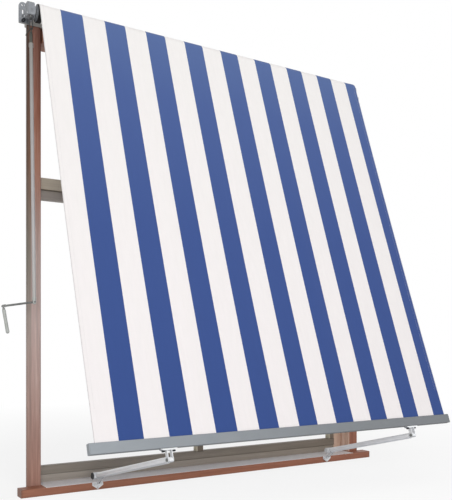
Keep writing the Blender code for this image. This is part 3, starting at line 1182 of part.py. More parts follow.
def main():
    global PARTS, CUTTERS
    clear_scene()
    PARTS = new_collection("window_awning")
    CUTTERS = new_collection("cutters")

    add_sill()
    add_stiles()
    add_inner_frame()
    add_head_rail()
    add_gear_bracket()
    add_idler_bracket()
    add_gear_housing()

    roller_axis = empty("roller_axis", (0.0, ROLLER_AXIS_Y, ROLLER_AXIS_Z))
    add_roller(roller_axis)
    add_worm_wheel(roller_axis)
    add_fabric()

    crank_axis = empty("crank_axis", WORM_CENTRE, -CRANK_TILT)
    add_worm(crank_axis)
    add_crank(crank_axis)
    handle_pivot = empty("handle_pivot", (0.0, 0.0, HANDLE_Z), 0.0, crank_axis)
    handle_pivot.rotation_euler = (0.0, math.pi - HANDLE_DROOP, 0.0)
    grip_pivot = empty("grip_pivot", (HANDLE_REACH, 0.0, 0.0), 0.0, handle_pivot)
    grip_pivot.rotation_euler = (0.0, math.pi, 0.0)
    grip_axis = empty("grip_axis", (0.0, 0.0, 0.0), 0.0, grip_pivot)
    add_handle(handle_pivot)
    add_grip(grip_pivot, grip_axis)

    for name, side in (("left", -1.0), ("right", 1.0)):
        hub = Vector((ARMS_CENTRE_X + side * HUB_SPACING / 2, HUB_Y, HUB_Z))
        toe = BAR_ARMS_X + side * BAR_SPACING / 2 - hub.x
        ear_left = add_base_bracket(name + "_base_bracket", hub)
        add_pivot_pin(name + "_pivot_pin", hub, ear_left)
        pivot = empty(name + "_arm_pivot", hub, -ARM_ELEVATION)
        add_arm(name, pivot, toe)

    bar_pivot = empty("bar_pivot", (0.0, PIN_Y, PIN_Z), -CLOTH_LEAN)
    add_front_bar(bar_pivot)
    for name, side in (("left", -1.0), ("right", 1.0)):
        add_bar_bracket(name + "_bar_bracket", BAR_ARMS_X + side * BAR_SPACING / 2, bar_pivot)
    bpy.context.view_layer.update()


main()
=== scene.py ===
import json
import math
import bpy
import numpy as np
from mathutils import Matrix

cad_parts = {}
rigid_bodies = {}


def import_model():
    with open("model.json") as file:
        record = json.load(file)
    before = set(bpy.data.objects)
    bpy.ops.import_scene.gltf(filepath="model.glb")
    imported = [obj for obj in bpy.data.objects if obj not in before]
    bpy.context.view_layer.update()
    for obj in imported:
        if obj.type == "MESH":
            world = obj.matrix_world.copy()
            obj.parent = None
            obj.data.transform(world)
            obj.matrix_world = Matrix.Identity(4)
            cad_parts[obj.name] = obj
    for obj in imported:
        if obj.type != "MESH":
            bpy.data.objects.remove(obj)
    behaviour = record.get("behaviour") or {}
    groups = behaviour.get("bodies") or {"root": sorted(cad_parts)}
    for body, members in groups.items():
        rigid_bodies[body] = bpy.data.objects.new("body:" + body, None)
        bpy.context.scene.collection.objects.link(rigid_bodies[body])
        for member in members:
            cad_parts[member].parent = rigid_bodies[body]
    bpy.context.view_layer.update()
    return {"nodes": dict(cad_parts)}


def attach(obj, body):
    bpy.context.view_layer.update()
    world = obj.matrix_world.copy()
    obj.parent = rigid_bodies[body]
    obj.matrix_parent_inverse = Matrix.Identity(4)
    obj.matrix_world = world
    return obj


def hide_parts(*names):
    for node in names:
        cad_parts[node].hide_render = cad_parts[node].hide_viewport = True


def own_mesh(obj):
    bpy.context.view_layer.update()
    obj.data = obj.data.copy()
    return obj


for spare in list(bpy.data.objects):      # the start-up cube, lamp and camera
    bpy.data.objects.remove(spare)
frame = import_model()
nodes = frame["nodes"]
print("frame loaded:", len(nodes), "nodes")

# Camera: the photograph's own place and angle, lens shifted up to keep the stiles upright

view = {"place": (-1.8112, -3.08, 0.682), "pitch": 90.0, "yaw": -31.98, "lens": 50.4, "sensor": 36.0,
        "shiftUp": 0.1804, "farEnd": 60.0}
camera = bpy.data.objects.new("photoCamera", bpy.data.cameras.new("photoCamera"))
camera.location = view["place"]
camera.rotation_euler = (math.radians(view["pitch"]), 0.0, math.radians(view["yaw"]))
camera.data.lens = view["lens"]
camera.data.sensor_width = view["sensor"]
camera.data.shift_y = view["shiftUp"]
camera.data.clip_end = view["farEnd"]
camera.data.dof.use_dof = False
bpy.context.scene.collection.objects.link(camera)
bpy.context.scene.camera = camera
bpy.context.scene.view_settings.view_transform = "Standard"
print("camera placed")


# Colours and nodes

def linearColour(hexCode):
    # sRGB hex to linear light: c/12.92 near black, ((c + 0.055)/1.055) to the power 2.4 above it
    parts = [int(hexCode.lstrip("#")[i:i + 2], 16) / 255.0 for i in (0, 2, 4)]
    return tuple(c / 12.92 if c <= 0.04045 else ((c + 0.055) / 1.055) ** 2.4 for c in parts) + (1.0,)


def addNode(tree, kind, inputs=None, stops=None, **settings):
    # One node: settings are its properties, inputs its sockets, each a plain value or a link from another
    # node's output, and stops are the places and hex colours of its ramp
    node = tree.nodes.new("ShaderNode" + kind)
    for name, value in settings.items():
        setattr(node, name, value)
    for key, value in (inputs or {}).items():
        if isinstance(value, bpy.types.NodeSocket):
            tree.links.new(value, node.inputs[key])
        else:
            node.inputs[key].default_value = value
    if stops:
        ramp = node.color_ramp
        while len(ramp.elements) < len(stops):
            ramp.elements.new(0.5)
        for element, (position, hexCode) in zip(ramp.elements, stops):
            element.position = position
            element.color = linearColour(hexCode)
    return node


def newMaterial(name):
    material = bpy.data.materials.new(name)
    material.use_nodes = True
    material.node_tree.nodes.clear()
    return material, material.node_tree


def closeMaterial(tree, shader):
    addNode(tree, "OutputMaterial", {"Surface": shader.outputs[0]})


def hollowShadeAndGrime(tree, colour, least, reach, shut, samples):
    # Painted shade with some grime in hollows: the colour times a share that falls from 1 in the open to least where
    # the surface's own shape shuts it in
    hollow = addNode(tree, "AmbientOcclusion", {"Distance": reach}, samples=samples).outputs["AO"]
    share = addNode(tree, "MapRange", {0: hollow, 1: shut, 2: 1.0 - shut, 3: least, 4: 1.0}).outputs[0]
    return addNode(tree, "Mix", {0: 1.0, 6: colour, 7: share}, data_type="RGBA", blend_type="MULTIPLY").outputs[2]


noiseLow, noiseHigh = 0.3, 0.7      # most values of a noise lie between these


# Timber: planed hardwood under a red-brown weathering stain. The eye reads long fibre streaks, darker growth
# bands, a stain washed out where rain reaches it, dark ends where it soaked in, painted shade in the hollows, and on
# the stiles painted shade darkening the top under the roll, with painted light paling the left stile lower down.
# Fibres are 0.3 mm wide and would vanish in the render, so their streaks are drawn 3 mm wide.

timberForm = {   # what all the timber shares
    "fibreMm": 3.0, "squeeze": 0.03, "streakShare": 0.42, "wanderScale": 14.0, "sideTurn": -0.6,
    "stripsLow": 0.45, "stripsHigh": 1.05, "stripsLeast": 0.25, "dirtReach": 0.045, "dirtShut": 0.15,
    "topPatch": 60.0, "topRough": 0.26, "endFade": 0.022, "roughSpan": 0.12, "bump": 0.35, "bumpMm": 0.6,
    "coat": 0.06, "coatRough": 0.35}


def makeTimber(name, look):
    look = {**timberForm, **look}
    material, tree = newMaterial(name)
    place = addNode(tree, "TexCoord").outputs["Object"]
    along = look["grain"]
    squeeze = tuple(look["squeeze"] if axis == along else 1.0 for axis in "XYZ")
    fibre = addNode(tree, "Mapping", {"Vector": place, "Scale": squeeze}).outputs[0]
    streak = addNode(tree, "TexNoise", {"Vector": fibre, "Scale": 1000.0 / look["fibreMm"], "Detail": 5.0,
                                        "Roughness": 0.62}).outputs[0]
    band = addNode(tree, "TexNoise", {"Vector": fibre, "Scale": 1000.0 / look["bandMm"], "Detail": 3.0,
                                      "Distortion": 0.6}).outputs[0]
    mixed = addNode(tree, "Mix", {0: look["streakShare"], 2: band, 3: streak}, data_type="FLOAT").outputs[0]
    stain = addNode(tree, "ValToRGB", {0: mixed}, look["stain"]).outputs[0]

    # Weathering and painted shade: a slow change along the piece, whose edges wander with the grain; on the stiles it
    # is painted shade at the top under the roll, and on the left stile painted light lower down
    axes = addNode(tree, "SeparateXYZ", {0: place})
    run = addNode(tree, "MapRange", {0: axes.outputs[along], 1: look["from"], 2: look["to"]}).outputs[0]
    wander = addNode(tree, "TexNoise", {"Vector": fibre, "Scale": look["wanderScale"], "Detail": 2.0}).outputs[0]
    bent = addNode(tree, "MapRange", {0: wander, 3: -look["wander"], 4: look["wander"]}).outputs[0]
    reached = addNode(tree, "Math", {0: run, 1: bent}, operation="ADD", use_clamp=True).outputs[0]
    wash = addNode(tree, "ValToRGB", {0: reached}, look["wash"]).outputs[0]
    colour = addNode(tree, "Mix", {0: look["washShare"], 6: stain, 7: wash}, data_type="RGBA").outputs[2]

    if "side" in look:    # the side turned to the left, paler: painted light on the stile's lit inner side, another coat on the mullions
        facing = addNode(tree, "SeparateXYZ", {0: addNode(tree, "TexCoord").outputs["Normal"]}).outputs["X"]
        turned = addNode(tree, "Math", {0: facing, 1: look["sideTurn"]}, operation="LESS_THAN").outputs[0]
        coat = addNode(tree, "ValToRGB", {0: mixed}, look["side"]).outputs[0]
        colour = addNode(tree, "Mix", {0: turned, 6: colour, 7: coat}, data_type="RGBA").outputs[2]

    if "strips" in look:  # in strips across the upright: greyer at the outer edge, pale on the bead, fading out low down
        strips = addNode(tree, "MapRange", {0: axes.outputs["X"], 1: look["stripsFrom"],
                                            2: look["stripsTo"]}).outputs[0]
        tint = addNode(tree, "ValToRGB", {0: strips}, look["strips"]).outputs[0]
        high = addNode(tree, "MapRange", {0: axes.outputs["Z"], 1: look["stripsLow"], 2: look["stripsHigh"],
                                          3: look["stripsLeast"], 4: 1.0}).outputs[0]
        colour = addNode(tree, "Mix", {0: high, 6: colour, 7: tint}, data_type="RGBA",
                         blend_type="MULTIPLY").outputs[2]

    # Painted shade and grime in the hollows
    colour = hollowShadeAndGrime(tree, colour, look["dirt"], look["dirtReach"], look["dirtShut"], 6)

    gloss = look["rough"]
    if "top" in look:     # the sill's upper face between the stiles, near white: a painted reflection of the bright surroundings at a glancing view
        upper = addNode(tree, "Math", {0: axes.outputs["Z"], 1: look["topFrom"]}, operation="GREATER_THAN").outputs[0]
        inside = addNode(tree, "Math", {0: axes.outputs["X"], 1: look["topMiddle"], 2: look["topHalf"]},
                         operation="COMPARE").outputs[0]
        lift = addNode(tree, "Math", {0: upper, 1: inside}, operation="MULTIPLY").outputs[0]
        patch = addNode(tree, "TexNoise", {"Vector": fibre, "Scale": look["topPatch"], "Detail": 4.0}).outputs[0]
        paintedReflection = addNode(tree, "ValToRGB", {0: patch}, look["top"]).outputs[0]
        colour = addNode(tree, "Mix", {0: lift, 6: colour, 7: paintedReflection}, data_type="RGBA").outputs[2]
        gloss = addNode(tree, "MapRange", {0: lift, 3: look["rough"], 4: look["topRough"]}).outputs[0]
    if "ends" in look:    # end grain, dark with stain
        away = addNode(tree, "Math", {0: axes.outputs[along], 1: look["endsMiddle"]}, operation="SUBTRACT").outputs[0]
        away = addNode(tree, "Math", {0: away}, operation="ABSOLUTE").outputs[0]
        dark = addNode(tree, "MapRange", {0: away, 1: look["endsFrom"],
                                          2: look["endsFrom"] + look["endFade"]}).outputs[0]
        colour = addNode(tree, "Mix", {0: dark, 6: colour, 7: linearColour(look["ends"])},
                         data_type="RGBA").outputs[2]

    dry = addNode(tree, "MapRange", {0: mixed, 1: noiseLow, 2: noiseHigh, 3: look["roughSpan"], 4: 0.0}).outputs[0]
    rough = addNode(tree, "Math", {0: dry, 1: gloss}, operation="ADD").outputs[0]
    bump = addNode(tree, "Bump", {"Height": streak, "Strength": look["bump"], "Distance": look["bumpMm"] / 1000.0})
    closeMaterial(tree, addNode(tree, "BsdfPrincipled", {
        "Base Color": colour, "Roughness": rough, "Normal": bump.outputs[0], "IOR": 1.5,
        "Coat Weight": look["coat"], "Coat Roughness": look["coatRough"]}))
    return material


upright = {"grain": "Z", "from": 0.0, "to": 2.07}
crossRail = {"grain": "X", "bandMm": 15.0, "from": -0.86, "to": 0.9, "washShare": 0.6}
timberLooks = {
    "leftStile": {
        **upright, "fibreMm": 3.5, "bandMm": 13.0, "wander": 0.06, "washShare": 0.60, "dirt": 0.8, "rough": 0.52,
        "stain": [(0.34, "#6C3E2E"), (0.45, "#9A6650"), (0.55, "#C08E7A"), (0.66, "#DDBBAE")],
        "wash": [(0.02, "#A88275"), (0.14, "#B59A92"), (0.36, "#DDD0CC"), (0.50, "#DFD0CA"), (0.60, "#CEAFA4"),
                 (0.70, "#B47A60"), (0.84, "#965840"), (0.93, "#6E3827"), (1.00, "#54281C")],
        "strips": [(0.0, "#8E9A92"), (0.10, "#AEB9B0"), (0.22, "#BAC6BE"), (0.34, "#F4F2F2"), (0.52, "#FFFFFF"),
                   (0.80, "#F2EEEC"), (0.88, "#FFFFFF"), (0.95, "#FFFFFF"), (1.0, "#A89C96")],
        "stripsFrom": -0.922, "stripsTo": -0.854},
    "stile": {
        **upright, "bandMm": 18.0, "wander": 0.06, "washShare": 0.55, "dirt": 0.92, "rough": 0.50,
        "stain": [(0.34, "#6A3C2B"), (0.46, "#945842"), (0.58, "#AC6E54"), (0.70, "#BE8569")],
        "wash": [(0.0, "#A0644B"), (0.4, "#A0674E"), (0.8, "#8F563F"), (1.0, "#6E4030")],
        "side": [(0.30, "#D9B29B"), (0.48, "#E6C4AE"), (0.62, "#EFD2BF"), (0.75, "#F5DFD0")]},
    "head": {
        "grain": "X", "bandMm": 16.0, "from": -0.86, "to": 0.96, "wander": 0.05, "washShare": 0.5, "dirt": 0.85,
        "rough": 0.52,
        "stain": [(0.34, "#804E39"), (0.46, "#A06A53"), (0.58, "#B57E66"), (0.70, "#C6947C")],
        "wash": [(0.0, "#A46C55"), (0.5, "#A87058"), (1.0, "#A0674F")]},
    "sill": {
        "grain": "X", "bandMm": 14.0, "from": -0.96, "to": 1.06, "wander": 0.05, "washShare": 0.45, "dirt": 0.92,
        "rough": 0.48,
        "stain": [(0.30, "#764532"), (0.45, "#965C44"), (0.60, "#AC7055"), (0.74, "#C08A6D")],
        "wash": [(0.0, "#96644C"), (0.3, "#A56F54"), (0.7, "#A86C50"), (1.0, "#945A43")],
        "top": [(0.35, "#F6F4F6"), (0.5, "#FAF9FA"), (0.65, "#FDFCFD")], "topFrom": 0.0348,
        "topMiddle": 0.040, "topHalf": 0.895,
        "ends": "#6B4A3A", "endsMiddle": 0.0475, "endsFrom": 1.000},
    "greyRail": {
        **crossRail, "wander": 0.08, "dirt": 0.55, "rough": 0.55,
        "stain": [(0.30, "#625A50"), (0.46, "#81786C"), (0.60, "#958B7F"), (0.74, "#AAA093")],
        "wash": [(0.0, "#8F887E"), (0.35, "#958C81"), (0.6, "#8A8073"), (1.0, "#7C6E5F")]},
    "greyRailFoot": {
        **crossRail, "wander": 0.08, "dirt": 0.7, "rough": 0.55,
        "stain": [(0.30, "#867D72"), (0.46, "#A3998D"), (0.60, "#B4AA9F"), (0.74, "#C6BDB2")],
        "wash": [(0.0, "#AFA79E"), (0.35, "#ABA195"), (0.6, "#A09588"), (1.0, "#908271")]},
    "greyPost": {
        **upright, "bandMm": 15.0, "wander": 0.08, "washShare": 0.55, "dirt": 0.6, "rough": 0.55,
        "stain": [(0.30, "#51463A"), (0.46, "#6E6152"), (0.60, "#857663"), (0.74, "#988A76")],
        "wash": [(0.0, "#85796A"), (0.5, "#7C6F60"), (1.0, "#6A5E50")],
        "side": [(0.30, "#B9B198"), (0.46, "#CBC3AB"), (0.60, "#D8D1BC"), (0.74, "#E2DCCA")]},
    "tanRail": {
        **crossRail, "wander": 0.05, "dirt": 0.6, "rough": 0.5,
        "stain": [(0.30, "#B0A48F"), (0.46, "#C6BAA5"), (0.60, "#D2C7B3"), (0.74, "#DDD4C2")],
        "wash": [(0.0, "#CFC4AF"), (0.5, "#C8BCA7"), (1.0, "#BDB09A")]},
    "tanPost": {
        **upright, "bandMm": 18.0, "wander": 0.05, "washShare": 0.6, "dirt": 0.9, "rough": 0.45,
        "stain": [(0.30, "#CFA68B"), (0.46, "#E0BCA3"), (0.60, "#EDCFB9"), (0.74, "#F5DFCE")],
        "wash": [(0.0, "#EACBB5"), (0.5, "#E2BEA7"), (1.0, "#C9A088")]},
}
timber = {name: makeTimber("weatheredTimber_" + name, look) for name, look in timberLooks.items()}
print("timber stained")


# Metals and mouldings. One build for all: a base colour with fine mottling, a slow change along the piece that is
# weathering on some and painted light and shade on others, painted shade on undersides, painted shade and grime in
# the hollows, and a bump of the surface's own making, drawn lines or cast skin.

metalForm = {    # what all of them share, unless a look says otherwise
    "skinShare": 0.4, "runShare": 0.7, "underFrom": -0.25, "underTo": -0.75, "dirtShut": 0.2, "ior": 1.5,
    "stretch": (1.0, 1.0, 1.0), "turn": (0.0, 0.0, 0.0), "metallic": 0.0, "roughSpan": 0.06, "dirt": 0.6,
    "bump": 0.2, "bumpMm": 0.06, "places": (0.34, 0.50, 0.66)}   # places of the three colours on their ramp


def makeMetal(name, look):
    look = {**metalForm, **look}
    material, tree = newMaterial(name)
    place = addNode(tree, "TexCoord").outputs["Object"]
    lines = addNode(tree, "Mapping", {"Vector": place, "Scale": look["stretch"],
                                      "Rotation": look["turn"]}).outputs[0]
    skin = addNode(tree, "TexNoise", {"Vector": lines, "Scale": 1000.0 / look["skinMm"], "Detail": 4.0,
                                      "Roughness": 0.6}).outputs[0]
    cloud = addNode(tree, "TexNoise", {"Vector": place, "Scale": 1000.0 / look["cloudMm"], "Detail": 3.0}).outputs[0]
    mixed = addNode(tree, "Mix", {0: look["skinShare"], 2: cloud, 3: skin}, data_type="FLOAT").outputs[0]
    colour = addNode(tree, "ValToRGB", {0: mixed}, list(zip(look["places"], look["colours"]))).outputs[0]
    if "runColours" in look:      # a slow change along the piece: weathering on some, painted shade on the bar, its caps and the roller's end, painted sheen and shade on the crank's sleeve
        axes = addNode(tree, "SeparateXYZ", {0: place})
        run = addNode(tree, "MapRange", {0: axes.outputs[look["runAxis"]], 1: look["runFrom"],
                                         2: look["runTo"]}).outputs[0]
        slow = addNode(tree, "ValToRGB", {0: run}, look["runColours"]).outputs[0]
        colour = addNode(tree, "Mix", {0: look["runShare"], 6: colour, 7: slow}, data_type="RGBA").outputs[2]
    if "under" in look:           # undersides darker: painted shade
        down = addNode(tree, "SeparateXYZ", {0: addNode(tree, "TexCoord").outputs["Normal"]}).outputs["Z"]
        down = addNode(tree, "MapRange", {0: down, 1: look["underFrom"], 2: look["underTo"]},
                       interpolation_type="SMOOTHSTEP").outputs[0]
        colour = addNode(tree, "Mix", {0: down, 6: colour, 7: linearColour(look["under"])},
                         data_type="RGBA").outputs[2]
    # painted shade and grime in the hollows
    if look["dirt"] < 1.0:
        colour = hollowShadeAndGrime(tree, colour, look["dirt"], look["dirtReach"], look["dirtShut"], 8)
    rough = addNode(tree, "MapRange", {0: mixed, 1: noiseLow, 2: noiseHigh, 3: look["rough"] - look["roughSpan"],
                                       4: look["rough"] + look["roughSpan"]}).outputs[0]
    bump = addNode(tree, "Bump", {"Height": skin, "Strength": look["bump"], "Distance": look["bumpMm"] / 1000.0})
    inputs = {"Base Color": colour, "Metallic": look["metallic"], "Roughness": rough, "Normal": bump.outputs[0]}
    if look["metallic"] < 0.5:
        inputs["IOR"] = look["ior"]
    closeMaterial(tree, addNode(tree, "BsdfPrincipled", inputs))
    return material


metalLooks = {
    # Die-cast gear parts under a dull grey lacquer: an even grey with a slightly pebbled skin
    "greyCasting": {
        "metallic": 0.25, "rough": 0.48, "roughSpan": 0.08, "skinMm": 1.6, "cloudMm": 22.0, "dirt": 0.45,
        "bump": 0.35, "bumpMm": 0.25, "dirtReach": 0.014,
        "colours": ("#74777B", "#8A8D92", "#9B9EA3")},
    # Sand-cast aluminium fittings, tumbled bright: whitish silver, with painted shade in the hollows and underneath
    "brightCasting": {
        "metallic": 0.15, "rough": 0.38, "roughSpan": 0.03, "skinMm": 3.0, "cloudMm": 30.0, "dirt": 0.34,
        "bump": 0.08, "bumpMm": 0.10, "dirtReach": 0.006, "under": "#A2A5AA",
        "places": (0.36, 0.50, 0.64), "colours": ("#DFE1E4", "#E6E8EA", "#EDEEF0")},
    # Drawn aluminium tube, silver anodised: fine lines along the tube, a crisp light along its top, painted shade
    # underneath
    "anodisedTube": {
        "metallic": 0.15, "rough": 0.30, "roughSpan": 0.02, "skinMm": 3.0, "cloudMm": 90.0, "dirt": 1.0,
        "bump": 0.04, "bumpMm": 0.04, "stretch": (1.0, 0.01, 1.0), "turn": (-0.24, 0.0, 0.0),
        "under": "#B4B7BC",
        "places": (0.36, 0.50, 0.64), "colours": ("#EDEEF0", "#F0F1F3", "#F4F5F6")},
    # The same tube on the right arm as a painted lit copy, which the photograph shows whiter and evenly lit from
    # below, with a faint painted shade underneath
    "paleTube": {
        "rough": 0.36, "roughSpan": 0.02, "skinMm": 3.0, "cloudMm": 90.0, "dirt": 1.0, "bump": 0.03,
        "bumpMm": 0.04, "stretch": (1.0, 0.01, 1.0), "turn": (-0.24, 0.0, 0.0), "under": "#DDE0E6",
        "places": (0.36, 0.50, 0.64), "colours": ("#F4F6FA", "#F7F9FC", "#FAFBFD")},
    # Extruded front bar, satin grey anodised: flat grey with die lines along it, painted shade darker to the right
    # and underneath
    "anodisedBar": {
        "metallic": 0.20, "rough": 0.48, "roughSpan": 0.05, "skinMm": 1.2, "cloudMm": 90.0, "bump": 0.12,
        "bumpMm": 0.08, "stretch": (0.01, 1.0, 1.0), "dirtReach": 0.010, "under": "#5E6165",
        "colours": ("#7E8286", "#888D91", "#92979B"),
        "runAxis": "X", "runFrom": -0.92, "runTo": 0.92,
        "runColours": [(0.0, "#969CA2"), (0.30, "#858A8F"), (0.65, "#696D71"), (1.0, "#55585B")]},
    # Head rail, grey powder coat on steel: fine orange peel, a little chalky
    "paintedRail": {
        "rough": 0.55, "skinMm": 2.0, "cloudMm": 70.0, "dirt": 0.75, "bumpMm": 0.12, "dirtReach": 0.020,
        "colours": ("#A5A39D", "#B0AEA9", "#BAB8B3")},
    # Zinc-plated steel wire and bar: dull grey with darker spangle where rain has dulled it
    "zincSteel": {
        "metallic": 0.6, "rough": 0.42, "roughSpan": 0.10, "skinMm": 2.2, "cloudMm": 9.0, "bumpMm": 0.1,
        "dirtReach": 0.006, "colours": ("#5F605E", "#7C7D7B", "#979896")},
    # Wire and ferrule of the gear's eye and the crank's hook: plain steel, browned and gone nearly black
    "browned": {
        "metallic": 0.45, "rough": 0.5, "roughSpan": 0.10, "skinMm": 2.0, "cloudMm": 12.0, "bumpMm": 0.1,
        "dirtReach": 0.005, "colours": ("#2E2E2C", "#444440", "#5C5C56"),
        "runAxis": "Z", "runFrom": 1.955, "runTo": 2.045,
        "runColours": [(0.0, "#55554D"), (0.35, "#4A4A43"), (0.6, "#2A2B2A"), (1.0, "#46474A")]},
    # Cut brass: warm yellow under a film of grease
    "cutBrass": {
        "metallic": 1.0, "rough": 0.34, "roughSpan": 0.10, "skinMm": 1.0, "cloudMm": 8.0, "dirt": 0.4,
        "dirtReach": 0.003, "colours": ("#8F6F34", "#B5924C", "#CDAF6C")},
    # Black moulded nylon cap: near black, greyed a little by sun
    "blackNylon": {
        "rough": 0.42, "roughSpan": 0.08, "skinMm": 1.1, "cloudMm": 7.0, "bump": 0.15, "dirtReach": 0.005,
        "colours": ("#16161A", "#202126", "#2C2E34")},
    # Dark end plug of the roller, glass-filled nylon: deep brown-black and matt
    "darkPlug": {
        "rough": 0.78, "skinMm": 1.4, "cloudMm": 12.0, "dirt": 0.5, "bumpMm": 0.08, "dirtReach": 0.012,
        "ior": 1.35, "colours": ("#0D0A0B", "#151112", "#1E1919")},
    # Roller tube, galvanised steel, its left end near black: painted shade
    "rollerSteel": {
        "metallic": 0.5, "rough": 0.42, "skinMm": 2.5, "cloudMm": 30.0, "dirt": 0.7, "bump": 0.1,
        "dirtReach": 0.008, "colours": ("#8E9194", "#9EA1A4", "#ADB0B2"),
        "runAxis": "X", "runFrom": -0.904, "runTo": 0.904,
        "runColours": [(0.0, "#0E0D0E"), (0.004, "#0E0D0E"), (0.006, "#9EA1A4"), (1.0, "#9EA1A4")]},
    # Grey plastic sleeve over the crank's steel rod: smooth, light warm grey, with painted sheen and shade down its
    # length, darkest at the top under the roll
    "greySleeve": {
        "rough": 0.38, "skinMm": 2.0, "cloudMm": 40.0, "bump": 0.1, "stretch": (1.0, 1.0, 0.05),
        "dirtReach": 0.008, "colours": ("#A5A29F", "#B1AEAB", "#BDBBB8"),
        "runAxis": "Z", "runFrom": 0.85, "runTo": 1.95,
        "runColours": [(0.0, "#BDBBB6"), (0.25, "#C2C0BF"), (0.6, "#B0ACAB"), (0.85, "#9C9996"), (1.0, "#7E7C76")]},
    # Grip and end caps, moulded polypropylene: light grey, eggshell
    "greyMoulding": {
        "rough": 0.46, "roughSpan": 0.07, "skinMm": 1.3, "cloudMm": 16.0, "bump": 0.15, "bumpMm": 0.08,
        "dirtReach": 0.006, "colours": ("#A9ACA7", "#B5B8B3", "#C2C4C0")},
    # Caps of the front bar, the same grey as the bar but moulded, with the bar's painted shade darker to the right
    "barCap": {
        "rough": 0.46, "roughSpan": 0.07, "skinMm": 1.3, "cloudMm": 16.0, "dirt": 0.85, "bump": 0.15,
        "bumpMm": 0.08, "dirtReach": 0.006,
        "colours": ("#82878B", "#8D9296", "#989DA1"),
        "runAxis": "X", "runFrom": -0.92, "runTo": 0.92, "runColours": [(0.0, "#999FA5"), (1.0, "#55585B")]},
    # Blackened steel bolts: dark, faintly oily
    "blackSteel": {
        "metallic": 0.7, "rough": 0.40, "roughSpan": 0.10, "skinMm": 0.9, "cloudMm": 5.0, "dirt": 0.5,
        "bumpMm": 0.05, "dirtReach": 0.004,
        "colours": ("#1F2023", "#2C2D31", "#3A3B40")},
}
metal = {name: makeMetal(name, look) for name, look in metalLooks.items()}
print("metals and mouldings made")

def wear(node, material):
    # Puts one finish on every slot of a frame part
    for slot in nodes[node].material_slots:
        slot.link = "OBJECT"
        slot.material = material


# What each finish covers
finishes = {
    "leftStile": ["left_stile"], "stile": ["right_stile"], "head": ["window_head"], "sill": ["sill"],
    "greyRail": ["bottom_rail_upper"], "greyRailFoot": ["bottom_rail_lower", "transom_lower"],
    "greyPost": ["centre_mullion_lower", "centre_mullion_upper", "right_mullion_lower", "right_mullion_upper"],
    "tanRail": ["transom_upper"], "tanPost": ["right_jamb_lining"],
    "paintedRail": ["head_rail", "left_rail_cap", "right_rail_cap"],
    "greyCasting": ["gear_bracket", "gear_housing", "gear_cover", "idler_bracket", "left_end_plug"],
    "cutBrass": ["worm_wheel"], "rollerSteel": ["roller_tube"], "darkPlug": ["right_end_plug"],
    "browned": ["crank_eye", "crank_hook"], "greySleeve": ["crank_rod"], "greyMoulding": ["crank_clevis", "grip"],
    "anodisedBar": ["front_bar"], "barCap": ["left_bar_cap", "right_bar_cap"], "anodisedTube": ["left_arm_tube"],
    "paleTube": ["right_arm_tube"], "blackNylon": ["clamp_washer", "left_pivot_cap"],
    "brightCasting": ["right_pivot_cap"], "zincSteel": ["worm", "handle_pin", "handle_arm", "grip_spindle"],
}
for hand in ("left_", "right_"):
    for part in ("base_bracket", "inner_knuckle", "outer_knuckle", "bar_bracket"):
        finishes["brightCasting"].append(hand + part)
    for part in ("pivot_pin", "outer_pin", "arm_spring"):
        finishes["zincSteel"].append(hand + part)
for finish, parts in finishes.items():
    for part in parts:
        wear(part, {**timber, **metal}[finish])


# Canvas: solution-dyed acrylic, plain woven and stretched taut. The eye sees crisp block stripes, a matt
# face with a faint bloom at glancing light, painted light that pales it towards the roller, and grey hem lines.
# Threads lie 0.5 mm apart, too fine for the render, so the weave is drawn at 1.6 mm.

canvasLook = {
    "firstStripe": 0.0927, "pair": 0.2043, "blueWidth": 0.0996,
    "whites": [(0.0, "#F0EBEB"), (0.5, "#F2EEED"), (1.0, "#F5F2F0")],
    "blues": [(0.0, "#344D8A"), (0.45, "#3B538F"), (0.8, "#485F98"), (1.0, "#566DA0")],
    "threadMm": 1.6, "slubMm": 14.0, "slubShade": (0.975, 1.012), "weaveShade": (0.965, 1.015),
    "width": 1.8, "drop": 1.95, "edgeGrey": "#C9C9CB", "edgeInset": (0.0035, 0.0005), "edgeShare": 0.75,
    "soil": "#141112", "soilWander": 0.002, "soilFade": 0.003, "rough": 0.88, "sheen": 0.12,
    "weaveBump": (0.3, 0.0002), "slubBump": (0.15, 0.0015),       # strength and depth in metres
}


